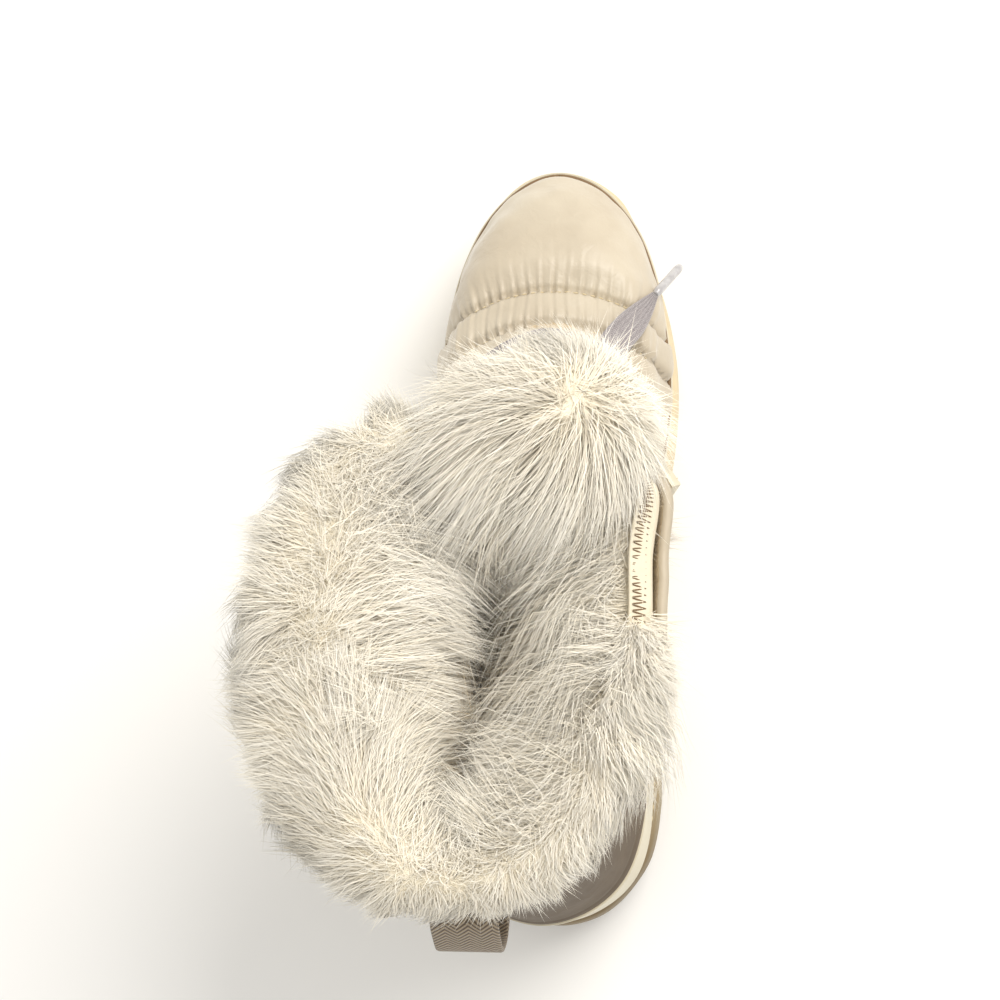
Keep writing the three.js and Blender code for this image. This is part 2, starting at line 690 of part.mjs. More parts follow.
function buildLaceEnd() {
  const points = endPath.map(([x, y, z]) => new THREE.Vector3(x, y, z));
  const faces = points.map((_, i) => (i < 7 ? new THREE.Vector3(0.3, i < 2 ? 1.2 : 0.7, 0.6)
    : new THREE.Vector3(0.65, 0.4, 0.75)).normalize());
  return band(points, faces, endPath.map((row) => row[3]), laceThickness / 2);
}

function buildAglet() {
  const root = new THREE.Vector3(...endPath[endPath.length - 1].slice(0, 3));
  const direction = agletAim.clone().normalize();
  const profile = [[0, 0], [0.7, 0], [1, 0.06], [1, 0.9], [0.62, 1], [0, 1]]
    .map(([r, h]) => new THREE.Vector2(r * agletRadius, clearance * 2 + h * agletLength));
  const geometry = new THREE.LatheGeometry(profile, 10);
  geometry.applyQuaternion(new THREE.Quaternion().setFromUnitVectors(new THREE.Vector3(0, 1, 0), direction));
  return solidOf(geometry.translate(root.x, root.y, root.z));
}

// Webbing loop on the back seam
function buildPullLoop() {
  const line = [[0, 0.02], [-0.02, 0.3], [0.02, 0.8], [0.14, 0.97], [0.4, 0.98], [0.74, 0.78], [1, 0.5],
    [0.86, 0.2], [0.5, 0.02], [0.2, -0.04]];
  const heartY = loopBackY - loopReach * 0.45;
  const heartZ = loopLowZ + loopDrop / 2;
  const edge = (grow) => line.map(([out, up]) => {
    const y = loopBackY - out * loopReach;
    const z = loopLowZ + up * loopDrop;
    const away = new THREE.Vector2((y - heartY) / loopReach, (z - heartZ) / loopDrop).normalize();
    return [y + away.x * grow, z + away.y * grow];
  });
  const outer = crossPrism(edge(webbing / 2), loopWidth / 2);
  const inner = crossPrism(edge(-webbing / 2), loopWidth / 2 + 1);
  return outer.subtract(inner).translate([loopCentreX, 0, 0]);
}

// Folded tab at the inner end of the collar
function buildTab(grow) {
  const rings = [topLevel - (tabHeight + grow) / levelGap, topLevel + (2 * grow - 0.5) / levelGap].map((level) => {
    const near = besideThroat(level, 1, 0.5 - grow);
    const far = awayFrom(level, near, 1, tabWidth + 2 * grow);
    return [[far, 8], [near, 8], [near, -1], [far, -1]].map(([a, offset]) => onForm(level, a, 1, offset));
  });
  const skin = form(clearance + tabThickness + grow, 0, grow).subtract(form(clearance - grow, 2, 4));
  return skin.intersect(loft(rings, 'fan'));
}

// Deep pile: a roll of changing section round the collar, and a lobe over the tongue's top edge, both
// with locks standing on them. turn runs from -1 at the outer end of the collar through 0 at the heel
// to 1 at the inner end.
const pileTable = [
  { turn: -1.0, out: 12, drop: 20, top: 15, inside: 13, deep: 28 },
  { turn: -0.86, out: 18, drop: 27, top: 19, inside: 19, deep: 34 },
  { turn: -0.7, out: 22, drop: 30, top: 22, inside: 23, deep: 38 },
  { turn: -0.5, out: 21, drop: 28, top: 22, inside: 25, deep: 40 },
  { turn: -0.3, out: 15, drop: 20, top: 21, inside: 21, deep: 38 },
  { turn: -0.14, out: 10, drop: 8, top: 19, inside: 18, deep: 35 },
  { turn: 0, out: 6, drop: 1, top: 17, inside: 16, deep: 35 },
  { turn: 0.14, out: 7, drop: 3, top: 18, inside: 17, deep: 35 },
  { turn: 0.28, out: 6, drop: 4, top: 16, inside: 18, deep: 35 },
  { turn: 0.4, out: 3, drop: 1, top: 13, inside: 21, deep: 37 },
  { turn: 0.52, out: -4.2, drop: 0, top: 8, inside: 24, deep: 38 },
  { turn: 0.75, out: -4.2, drop: 0, top: 8, inside: 24, deep: 36 },
  { turn: 1.0, out: -4.2, drop: 0, top: 8, inside: 13, deep: 26 },
];
const pileEnd = 0.87; // of half a turn round the collar
const pileValue = (turn, key) => through(pileTable.map((row) => [row.turn, row[key]]), turn);

function pilePoint(turn, offset, height) {
  const side = turn < 0 ? -1 : 1;
  const angle = Math.abs(turn) * pileEnd * Math.PI;
  const level = topLevel + Math.min(0, height) / levelGap;
  return onForm(level, angle, side, offset).add(new THREE.Vector3(0, 0, Math.max(0, height)));
}

function pileSection(turn) {
  const [out, drop, top, inside, deep] = ['out', 'drop', 'top', 'inside', 'deep']
    .map((key) => pileValue(turn, key));
  const shell = out > 0 ? [[0.65 * out, 0.8 * top], [out, 0.1 * top], [0.92 * out, -0.6 * drop],
    [0.5 * out, -drop], [-1.5, -deep]]
    : [[out - 2, 0.8 * top], [out, 0.1 * top], [out, -0.3 * deep], [out, -0.7 * deep], [out, -deep]];
  return [[-0.55 * inside, -deep], [-inside, -0.5 * deep], [-inside, 0.35 * top], [-0.6 * inside, 0.9 * top],
    [Math.min(0, out) - 1, top], ...shell];
}

// A four-sided tapering lock
function lock(root, normal, flow, length, radius) {
  const side = normal.clone().cross(flow).normalize();
  const base = root.clone().addScaledVector(normal, -3);
  const tip = root.clone().addScaledVector(normal, 0.3 * length).addScaledVector(flow, 0.8 * length);
  const corners = [[1, 0], [0, 1], [-1, 0], [0, -1]].map(([u, v]) => base.clone()
    .addScaledVector(side, u * radius * 1.25).addScaledVector(flow, v * radius));
  const faces = [[0, 2, 1], [0, 3, 2]];
  for (let k = 0; k < 4; k++) faces.push([k, (k + 1) % 4, 4]);
  const solid = solidFrom([...corners, tip], faces);
  return solid.volume() > 0 ? solid : solidFrom([...corners, tip], faces.map((f) => [...f].reverse()));
}

let seed = 7;
function chance() {
  seed = (seed * 16807) % 2147483647;
  return seed / 2147483647;
}

function largest(solid) {
  return solid.decompose().sort((a, b) => b.volume() - a.volume())[0];
}

// Room for the wall, its facings and the tab under the pile
function pileSeat() {
  const facings = form(overlayThickness + 2 * clearance, 0, 0)
    .intersect(wasm.Manifold.cube([soleLength, soleLength * 2, bareRings[topLevel - 1][around].z + 2])
      .translate([-soleLength / 2, -soleLength, 0]));
  return form(clearance, 0, clearance).add(facings).subtract(hollow(clearance, 3, 3))
    .subtract(throatSolid(-clearance, ballWidth, 0, wall * 5)).add(buildTab(clearance));
}

function buildCollarPile() {
  const stations = 18;
  const turns = Array.from({ length: stations + 1 }, (_, i) => -1 + 2 * i / stations);
  const rings = turns.map((turn) => pileSection(turn).map(([o, h]) => pilePoint(turn, o, h)));
  const roll = loft(rings, 'fan');
  const body = roll.volume() > 0 ? roll : loft(rings.map((ring) => [...ring].reverse()), 'fan');
  const locks = [];
  const steps = 22;
  for (let i = 0; i <= steps; i++) {
    for (const place of [1.5, 3, 5.2, 7]) {
      const turn = -0.97 + 1.94 * (i + 0.5 * (place % 1) + 0.3 * (chance() - 0.5)) / (steps + 0.5);
      if (Math.abs(turn) > 0.98) continue;
      const section = pileSection(turn);
      const out = pileValue(turn, 'out');
      if (place > 3 && out < 5) continue;
      const k = Math.floor(place);
      const mix = (a, b) => a + (b - a) * (place - k);
      const [a, b] = [section[k], section[k + 1]];
      const root = pilePoint(turn, mix(a[0], b[0]), mix(a[1], b[1]));
      const run = new THREE.Vector2(b[0] - a[0], b[1] - a[1]).normalize();
      const away = outward(topLevel, Math.abs(turn) * pileEnd * Math.PI, turn < 0 ? -1 : 1).setZ(0);
      const ground = new THREE.Vector3(0, 0, 1);
      const normal = away.clone().multiplyScalar(-run.y).addScaledVector(ground, run.x).normalize();
      const down = place < 3 ? -1 : 1;
      const flow = away.clone().multiplyScalar(run.x * down).addScaledVector(ground, run.y * down).normalize();
      const along = ground.clone().cross(away).multiplyScalar(0.8 * (chance() - 0.5));
      const length = lockLength * (0.75 + 0.4 * chance());
      locks.push(lock(root, normal, flow.add(along).normalize(), length, lockRadius));
    }
  }
  const strap = wasm.Manifold.cube([loopWidth + 2, 30, 60], true)
    .translate([loopCentreX, collarBackY - 15 + 0.4, loopLowZ + loopDrop - 30 + 1.5]);
  return largest(wasm.Manifold.union([body, ...locks]).subtract(pileSeat()).subtract(strap));
}

// Lobe over the tongue, as [y, z] places round its section, in mm from the tongue's top edge
const lobeSection = [
  [-13, -58], [-23, -38], [-23, -12], [-13, 6], [-1, 11], [12, 7], [23, -4], [26, -16], [22, -26],
  [13, -30], [5, -24], [-4, -36]];
const lobeLow = -19;
const lobeHigh = 33;

function lobePoint(x, [y, z], grow) {
  const middleX = (lobeLow + lobeHigh) / 2;
  const k = (x - middleX) / ((lobeHigh - lobeLow) / 2);
  const scale = Math.sqrt(Math.max(0.05, 1 - 0.55 * Math.abs(k) ** 3));
  const tilt = 2.5 * Math.sin(x * 0.23);
  const heartY = 3;
  const heartZ = -14;
  const size = Math.hypot(y - heartY, z - heartZ);
  const reach = (size * scale + grow) / size;
  return new THREE.Vector3(x + k * grow, tongueTopY - 7 * k * k + heartY + (y - heartY) * reach,
    tongueTopZ + heartZ + (z - heartZ) * reach + tilt * 0.4);
}

function buildLobe(grow) {
  const steps = 8;
  const rings = Array.from({ length: steps + 1 }, (_, i) => {
    const x = lobeLow + (lobeHigh - lobeLow) * i / steps;
    return lobeSection.map((place) => lobePoint(x, place, grow));
  });
  const roll = loft(rings, 'fan');
  const body = roll.volume() > 0 ? roll : loft(rings.map((ring) => [...ring].reverse()), 'fan');
  const locks = [];
  seed = 11;
  for (let i = 0; i < 7; i++) {
    for (const k of [3, 4, 5, 6, 7]) {
      const x = lobeLow + (lobeHigh - lobeLow) * (i + 0.5 + 0.5 * (chance() - 0.5)) / 7;
      const a = lobePoint(x, lobeSection[k], 0);
      const b = lobePoint(x, lobeSection[k + 1], 0);
      const root = a.clone().lerp(b, 0.3 + 0.4 * chance());
      const flow = b.clone().sub(a).normalize();
      const normal = new THREE.Vector3(1, 0, 0).cross(flow).normalize();
      const lift = normal.dot(root.clone().sub(lobePoint(x, [3, -14.01], 0))) > 0 ? normal : normal.negate();
      if (k === 2) flow.negate();
      flow.x += 0.7 * (chance() - 0.5);
      const length = lockLength * (0.6 + 0.35 * chance());
      locks.push(lock(root, lift, flow.normalize(), length + 2 * grow, lockRadius + grow));
    }
  }
  return wasm.Manifold.union([body, ...locks]);
}

function tongueSeat() {
  const outer = hollow(0, 0, tongueRise + clearance);
  const inner = hollow(2 * clearance + tongueThickness, 4, tongueRise + 4);
  return outer.subtract(inner).intersect(throatSolid(5 + clearance, tongueWidth / 2 + clearance, 14, 20));
}

function buildTonguePile() {
  return largest(buildLobe(0).subtract(tongueSeat()).subtract(pileSeat()));
}

const part = new THREE.Group();

function add(name, solid, colour, roughness) {
  const mesh = new THREE.Mesh(geometryOf(solid), new THREE.MeshStandardMaterial({ color: colour, roughness }));
  mesh.name = name;
  part.add(mesh);
}

add('outsole', buildOutsole(), 0xe6d6b4, 0.8);
add('midsole', buildMidsole(), 0xf0e4be, 0.6);
add('insole', buildInsole(), 0xe0d4bc, 0.95);
add('upper', buildUpper(), 0xeadcc2, 0.45);
add('foxing', buildFoxing(), 0xf2e8d2, 0.5);
add('counter', buildCounter(), 0xa8957e, 0.5);
add('eyestay_medial', buildEyestay(1), 0xefe2ca, 0.5);
add('eyestay_lateral', buildEyestay(-1), 0xefe2ca, 0.5);
add('tongue', buildTongue(), 0xe6d8be, 0.5);
add('collar_tab', buildTab(0), 0xefe2ca, 0.5);
for (const [side, word] of [[1, 'medial'], [-1, 'lateral']]) {
  loopRows.forEach((level, i) => add(`lace_loop_${word}_${i + 1}`, laceLoop(level, side, 0), 0xefe2ca, 0.5));
}
add('lacing', buildLacing(), 0xb3a8a8, 0.85);
add('lace_end', buildLaceEnd(), 0xb3a8a8, 0.85);
add('aglet', buildAglet(), 0xc8c8c8, 0.3);
add('pull_loop', buildPullLoop(), 0x96876f, 0.9);
add('tongue_pile', buildTonguePile(), 0xece2cc, 0.95);
const round = wasm.Manifold.union([buildLobe(2 * clearance), tongueSeat()]);
add('collar_pile', largest(buildCollarPile().subtract(round)), 0xece2cc, 0.95);

export default part;
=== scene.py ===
import functools
import itertools
import math
import bpy
import bmesh
import numpy as np
from mathutils import Matrix, Vector


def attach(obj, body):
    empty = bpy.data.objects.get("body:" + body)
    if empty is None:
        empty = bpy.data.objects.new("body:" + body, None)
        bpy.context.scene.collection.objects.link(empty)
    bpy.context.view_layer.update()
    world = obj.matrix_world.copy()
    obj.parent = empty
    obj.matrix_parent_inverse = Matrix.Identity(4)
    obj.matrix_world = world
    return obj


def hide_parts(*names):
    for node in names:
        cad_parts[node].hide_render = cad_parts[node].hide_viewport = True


# a left winter boot over its solids; lengths are worked out in millimetres and put into meshes in metres

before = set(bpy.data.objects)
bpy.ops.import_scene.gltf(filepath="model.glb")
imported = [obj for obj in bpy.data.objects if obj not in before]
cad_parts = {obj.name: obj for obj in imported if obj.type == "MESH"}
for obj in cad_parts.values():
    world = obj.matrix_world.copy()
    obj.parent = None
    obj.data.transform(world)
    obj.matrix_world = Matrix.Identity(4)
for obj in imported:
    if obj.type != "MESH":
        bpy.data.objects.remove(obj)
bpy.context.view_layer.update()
mm = 0.001
print("frame loaded")

# camera: the photograph's viewpoint, turned to face this boot

cameraView = {
    "place": (0.044, -0.018, 0.700),
    "aim": (-0.0165, 0.103, 0.100),
    "lens": 66.0,
    "groundPixel": (491, 745), "middlePixel": (500, 500), "focalPixels": 1713.5,
}


def makeCamera():
    # the picture's point that lies straight below the camera gives the way down
    ground, middle = cameraView["groundPixel"], cameraView["middlePixel"]
    down = Vector((ground[0] - middle[0], middle[1] - ground[1], -cameraView["focalPixels"])).normalized()
    up = -down
    ahead = (Vector((0, 1, 0)) - up * up.y).normalized()
    side = ahead.cross(up)
    turn = Matrix((side, ahead, up)).to_quaternion()
    place = Vector(cameraView["place"])
    look = turn @ Vector((0, 0, -1))
    aim = (Vector(cameraView["aim"]) - place).normalized()
    data = bpy.data.cameras.new("camera")
    data.lens = cameraView["lens"]
    data.sensor_width = 36
    data.clip_start = 0.01
    data.clip_end = 20
    camera = bpy.data.objects.new("camera", data)
    camera.rotation_mode = "QUATERNION"
    camera.location = place
    camera.rotation_quaternion = look.rotation_difference(aim) @ turn
    bpy.context.collection.objects.link(camera)
    bpy.context.scene.camera = camera


makeCamera()
bpy.context.scene.view_settings.view_transform = "Standard"

# the boot's form, the same named sizes and sections as its solids

bootSize = {
    "length": 283.0, "setback": 38.0, "ball": 90.0, "heelSeat": 26.0, "ballSeat": 19.0, "toeSpring": 11.0,
    "heelBevel": 2.5, "arch": 4.0, "instep": 88.0, "shaft": 146.0, "lean": -20.0, "wall": 3.0,
    "puff": 3.0, "lip": 7.0, "footInset": 6.2, "guard": 20.0,
}
soleLine = [  # share of the length, centre and half width as shares of the ball's width
    (0, 0, 0), (0.016, 0, 0.182), (0.053, 0, 0.303), (0.092, 0, 0.372), (0.16, 0, 0.407),
    (0.22, -0.008, 0.408), (0.31, -0.03, 0.403), (0.417, -0.05, 0.415), (0.52, -0.044, 0.455),
    (0.63, -0.028, 0.495), (0.714, -0.02, 0.5), (0.784, -0.022, 0.475), (0.845, -0.021, 0.424),
    (0.887, -0.018, 0.376), (0.929, -0.017, 0.316), (0.965, -0.017, 0.243), (1, -0.03, 0),
]
stations = [0.06, 0.2, 0.45, 0.7, 0.9]
upperLines = [  # back, front, back height, front height, settle, five half widths
    (0.0120, 0.9770, 0.170, 0.176, 0.2, 0.317, 0.376, 0.389, 0.456, 0.344),
    (0.0113, 0.9576, 0.250, 0.290, 0.45, 0.311, 0.378, 0.389, 0.453, 0.344),
    (0.0124, 0.9223, 0.318, 0.386, 0.7, 0.300, 0.372, 0.383, 0.428, 0.328),
    (0.0141, 0.8728, 0.386, 0.460, 1, 0.289, 0.359, 0.378, 0.417, 0.322),
    (0.0177, 0.8233, 0.455, 0.494, 1, 0.276, 0.344, 0.372, 0.400, 0.317),
    (0.0212, 0.7809, 0.523, 0.523, 1, 0.264, 0.333, 0.367, 0.389, 0.311),
    (0.0247, 0.7350, 0.602, 0.580, 1, 0.253, 0.322, 0.359, 0.376, 0.300),
    (0.0283, 0.6890, 0.682, 0.659, 1, 0.242, 0.313, 0.351, 0.362, 0.284),
    (0.0318, 0.6430, 0.773, 0.756, 1, 0.233, 0.307, 0.344, 0.350, 0.270),
    (0.0353, 0.5970, 0.875, 0.875, 1, 0.227, 0.306, 0.344, 0.344, 0.261),
    (0.0389, 0.5548, 0.989, 1.017, 1, 0.224, 0.311, 0.356, 0.350, 0.256),
    (0.0417, 0.5190, 1.190, 1.259, 1, 0.226, 0.328, 0.383, 0.378, 0.283),
    (0.0442, 0.4980, 1.431, 1.517, 1, 0.231, 0.353, 0.428, 0.428, 0.333),
    (0.0470, 0.4980, 1.690, 1.793, 1, 0.244, 0.389, 0.483, 0.476, 0.400),
    (0.0510, 0.5160, 2.000, 2.086, 1, 0.261, 0.428, 0.544, 0.522, 0.467),
]
throatLine = [(8.5, 0), (8.54, 5), (8.62, 9.5), (8.85, 12), (9.3, 13), (10, 14), (11, 16), (12, 19), (13, 22),
              (14, 26), (15, 31), (16, 36)]
topLevel = 16
rearY = -bootSize["setback"]


def ease(a, b, t):
    k = np.clip((np.asarray(t, float) - a) / (b - a), 0, 1)
    return k * k * (3 - 2 * k)


def unit(v):
    return v / np.maximum(np.linalg.norm(v, axis=-1, keepdims=True), 1e-9)


def through(pairs, at):  # a smooth curve through pairs, as the solids have it
    xs, ys = np.array([p[0] for p in pairs], float), np.array([p[1] for p in pairs], float)
    at = np.asarray(at, float)
    n = len(xs)
    low, high = np.maximum(np.arange(n) - 1, 0), np.minimum(np.arange(n) + 1, n - 1)
    slope = (ys[high] - ys[low]) / (xs[high] - xs[low])
    i = np.clip(np.searchsorted(xs, at, side="left") - 1, 0, n - 2)
    h = xs[i + 1] - xs[i]
    t = np.clip((at - xs[i]) / h, 0, 1)
    t2, t3 = t * t, t * t * t
    return ((2 * t3 - 3 * t2 + 1) * ys[i] + (t3 - 2 * t2 + t) * h * slope[i]
            + (3 * t2 - 2 * t3) * ys[i + 1] + (t3 - t2) * h * slope[i + 1])


def angleAt(part):
    return np.arccos(1 - 2 * np.clip(part, 0, 1))


soleHalf = [(float(angleAt(r[0])), r[2]) for r in soleLine]
soleCentre = [(r[0], r[1]) for r in soleLine]


def share(y):
    return np.clip((y - rearY) / bootSize["length"], 0, 1)


def placeY(s):
    return rearY + s * bootSize["length"]


def centreLine(y):
    return bootSize["ball"] * through(soleCentre, share(y))


def lift(y):
    s = share(y)
    arch = ease(0.33, 0.4, s) * (1 - ease(0.49, 0.55, s))
    return (bootSize["heelBevel"] * (1 - ease(0, 0.07, s)) + bootSize["arch"] * arch
            + bootSize["toeSpring"] * ease(0.74, 1.03, s) ** 1.2)


def seat(y):
    s = share(y)
    fall = bootSize["ballSeat"] - bootSize["heelSeat"]
    return (bootSize["heelSeat"] + fall * ease(0.2, 0.66, s)
            + bootSize["toeSpring"] * ease(0.72, 1.03, s) ** 1.2)


def heightOf(up):
    up = np.asarray(up, float)
    return np.where(up <= 1, up * bootSize["instep"],
                    bootSize["instep"] + (up - 1) * (bootSize["shaft"] - bootSize["instep"]))


def wrapTurn(turn):  # 0 is the heel, 1 the toe by the inner side and -1 the toe by the outer side
    return (np.asarray(turn, float) + 1) % 2 - 1


def soleEdge(turn, inset=0.0):
    def bare(t):
        t = wrapTurn(t)
        side, angle = np.where(t < 0, -1.0, 1.0), np.abs(t) * np.pi
        y = placeY((1 - np.cos(angle)) / 2)
        return np.stack([centreLine(y) + side * bootSize["ball"] * through(soleHalf, angle), y], -1)
    ahead = bare(np.asarray(turn) + 0.012) - bare(np.asarray(turn) - 0.012)
    ahead = unit(ahead)
    return bare(turn) + np.stack([-ahead[..., 1], ahead[..., 0]], -1) * np.asarray(inset)[..., None]


def levelRing(level, turn):
    turn = wrapTurn(turn)
    if level < 2:
        plan = soleEdge(turn, bootSize["footInset"])
        return np.stack([plan[..., 0], plan[..., 1], seat(plan[..., 1]) + level * bootSize["lip"]], -1)
    back, front, backUp, frontUp, settle, *widths = upperLines[level - 2]
    profile = [(0, 0)] + [(float(angleAt(s)), w) for s, w in zip(stations, widths)] + [(math.pi, 0)]
    side, angle = np.where(turn < 0, -1.0, 1.0), np.abs(turn) * np.pi
    along = (1 - np.cos(angle)) / 2
    y = placeY(back) + along * (placeY(front) - placeY(back))
    rise = heightOf(backUp) * (1 - along) + heightOf(frontUp) * along
    bed = seat(y) * (1 - settle) + bootSize["heelSeat"] * settle
    lean = bootSize["lean"] * (1 - along) * np.clip(rise / bootSize["shaft"], 0, 1) ** 1.1
    sweep = centreLine(y) * (1 - 0.8 * np.clip((rise - bootSize["instep"] / 2) / bootSize["shaft"], 0, 1))
    return np.stack([sweep + lean + side * bootSize["ball"] * through(profile, angle), y, bed + rise], -1)


def bareForm(level, turn):
    level, turn = np.broadcast_arrays(np.asarray(level, float), np.asarray(turn, float))
    rings = np.stack([levelRing(k, turn) for k in range(topLevel + 1)])
    i = np.clip(np.floor(level).astype(int), 0, topLevel - 1)
    t = (level - i)[..., None]

    def pick(k):
        return np.take_along_axis(rings, np.clip(k, 0, topLevel)[None, ..., None], 0)[0]
    a, b, c, d = pick(i - 1), pick(i), pick(i + 1), pick(i + 2)
    a = np.where((i < 1)[..., None], 2 * b - c, a)
    d = np.where((i > topLevel - 2)[..., None], 2 * c - b, d)
    curved = 0.5 * (2 * b + (c - a) * t + (2 * a - 5 * b + 4 * c - d) * t ** 2
                    + (3 * b - a - 3 * c + d) * t ** 3)
    return np.where(t > 1, c + (c - b) * (t - 1), curved)


def formNormal(level, turn):
    level, turn = np.broadcast_arrays(np.asarray(level, float), np.asarray(turn, float))
    high, low = np.minimum(level + 0.15, topLevel), np.maximum(level - 0.15, 0)
    up = bareForm(high, turn) - bareForm(low, turn)
    along = bareForm(level, turn + 0.01) - bareForm(level, turn - 0.01)
    return unit(np.cross(along, up))


seamPlaces = [placeY(0.79), placeY(0.738)]


def seamPlace(p):
    return p[..., 1] + 0.0078 * (p[..., 0] - centreLine(p[..., 1])) ** 2


def puff(p):
    base = seat(p[..., 1]) + bootSize["guard"]
    high = ease(0, 1, (p[..., 2] - base) / 16)
    place = seamPlace(p)
    toePanel = ease(seamPlaces[0], seamPlaces[0] + 12, place) * (1 - ease(placeY(0.93), placeY(1), place))
    quarters = 0.3 * (1 - ease(seamPlaces[1] - 20, seamPlaces[1], place))
    return bootSize["puff"] * high * np.maximum(toePanel, quarters)


def form(level, turn, offset=0.0):
    p = bareForm(level, turn)
    lifted = np.asarray(offset) + np.where(np.asarray(level) > 1, puff(p), 0)
    return p + formNormal(level, turn) * lifted[..., None]


def besideThroat(level, side, beyond):
    level = np.asarray(level, float)
    half = through(throatLine, level) + beyond
    ridge = bareForm(level, 1.0)[..., 0]
    low, high = np.full(level.shape, 0.5), np.full(level.shape, 1.0)
    for _ in range(22):
        middle = (low + high) / 2
        wide = np.abs(bareForm(level, side * middle)[..., 0] - ridge) > half
        low, high = np.where(wide, middle, low), np.where(wide, high, middle)
    return side * (low + high) / 2


def awayFrom(level, turn, distance):  # a turn further back along a level
    level, turn = np.asarray(level, float), np.asarray(turn, float)
    start, far = bareForm(level, turn), np.abs(turn).copy()
    side = np.sign(turn)
    for _ in range(120):
        near = np.linalg.norm(bareForm(level, side * far) - start, axis=-1) < distance
        far = np.where(near & (far > 0.1), far - 0.006, far)
    return side * far


# noise that repeats exactly on every run

def hash3(cells, seed):
    x = (cells[..., 0] * 374761393 + cells[..., 1] * 668265263 + cells[..., 2] * 2147483647 + seed * 974711)
    x = (x ^ (x >> 13)) * 1274126177
    return ((x ^ (x >> 16)) & 0xFFFFFF) / float(0xFFFFFF)


def noise(p, size, seed=1):  # soft noise from -1 to 1, in a grid of that size
    q = np.asarray(p, float) / size
    cell = np.floor(q).astype(np.int64)
    f = q - cell
    f = f * f * (3 - 2 * f)
    total = 0
    for dx in (0, 1):
        for dy in (0, 1):
            for dz in (0, 1):
                w = (np.where(dx, f[..., 0], 1 - f[..., 0]) * np.where(dy, f[..., 1], 1 - f[..., 1])
                     * np.where(dz, f[..., 2], 1 - f[..., 2]))
                total = total + w * hash3(cell + np.array([dx, dy, dz]), seed)
    return 2 * total - 1


# mesh helpers

def newObject(name, bm, material=None, smooth=True):
    mesh = bpy.data.meshes.new(name)
    bm.to_mesh(mesh)
    bm.free()
    mesh.shade_smooth() if smooth else mesh.shade_flat()
    piece = bpy.data.objects.new(name, mesh)
    bpy.context.collection.objects.link(piece)
    if material:
        mesh.materials.append(material)
    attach(piece, "root")
    return piece


# place(u, v) gives millimetres for arrays of u and v from 0 to 1
def gridPiece(name, columns, rows, place, material, scale=(1, 1), capEnds=False):
    bm = bmesh.new()
    bmesh.ops.create_grid(bm, x_segments=columns, y_segments=rows, size=1)
    co = np.array([v.co[:] for v in bm.verts])
    u, v = (co[:, 0] + 1) / 2, (co[:, 1] + 1) / 2
    points = place(u, v) * mm
    layer = bm.loops.layers.uv.new("UVMap")
    for vert, p in zip(bm.verts, points):
        vert.co = p
    bm.verts.index_update()
    for face in bm.faces:
        for loop in face.loops:
            k = loop.vert.index
            loop[layer].uv = (u[k] * scale[0], v[k] * scale[1])
    bmesh.ops.remove_doubles(bm, verts=bm.verts, dist=2e-6)
    if capEnds:
        bmesh.ops.holes_fill(bm, edges=[e for e in bm.edges if e.is_boundary], sides=0)
    bm.normal_update()
    return newObject(name, bm, material)


def addModifier(piece, kind, name, **settings):
    modifier = piece.modifiers.new(name, kind)
    for key, value in settings.items():
        setattr(modifier, key, value)
    return modifier


# a closed section swept along a line: points in mm, up gives the way its face looks
def sweepPiece(name, points, ups, section, material, steps=80, scale=(1, 1), widths=None, thicks=None):
    points, ups = np.asarray(points, float), np.asarray(ups, float)
    section = np.asarray(section + [section[0]], float)
    run = np.concatenate([[0], np.cumsum(np.linalg.norm(np.diff(points, axis=0), axis=1))])
    knots = run / run[-1]
    widths = np.ones(len(points)) if widths is None else np.asarray(widths, float)
    thicks = np.ones(len(points)) if thicks is None else np.asarray(thicks, float)

    def along(values, u):
        return np.stack([through(list(zip(knots, values[:, k])), u) for k in range(3)], -1)

    def place(u, v):
        centre = along(points, u)
        ahead = along(points, np.minimum(u + 0.004, 1)) - along(points, np.maximum(u - 0.004, 0))
        ahead = unit(ahead)
        face = along(ups, u)
        across = np.cross(face, ahead)
        across = unit(across)
        face = np.cross(ahead, across)
        k = v * (len(section) - 1)
        sx = np.interp(k, range(len(section)), section[:, 0]) * through(list(zip(knots, widths)), u)
        sy = np.interp(k, range(len(section)), section[:, 1]) * through(list(zip(knots, thicks)), u)
        return centre + across * sx[:, None] + face * sy[:, None]
    piece = gridPiece(name, steps, len(section) - 1, place, material, scale=scale, capEnds=True)
    return piece, run[-1]


def joinPieces(name, pieces):
    joined = bmesh.new()
    for piece in pieces:
        joined.from_mesh(piece.data)
    material = pieces[0].data.materials[0]
    for piece in pieces:
        mesh = piece.data
        bpy.data.objects.remove(piece)
        bpy.data.meshes.remove(mesh)
    return newObject(name, joined, material)


# finishes

def startMaterial(name, color, roughness, **sockets):
    material = bpy.data.materials.new(name)
    material.use_nodes = True
    nodes, links = material.node_tree.nodes, material.node_tree.links
    shader = nodes["Principled BSDF"]
    shader.inputs["Base Color"].default_value = (*color, 1)
    shader.inputs["Roughness"].default_value = roughness
    for key, value in sockets.items():
        shader.inputs[key.replace("_", " ")].default_value = value
    return material, nodes, links, shader


def srgb(r, g, b):
    return tuple(((c / 255 + 0.055) / 1.055) ** 2.4 if c > 10 else c / 255 / 12.92 for c in (r, g, b))


def noiseNode(nodes, links, vector, scale, detail=3, rough=0.5, distortion=0.0):
    node = nodes.new("ShaderNodeTexNoise")
    node.inputs["Scale"].default_value = scale
    node.inputs["Detail"].default_value = detail
    node.inputs["Roughness"].default_value = rough
    node.inputs["Distortion"].default_value = distortion
    links.new(vector, node.inputs["Vector"])
    return node


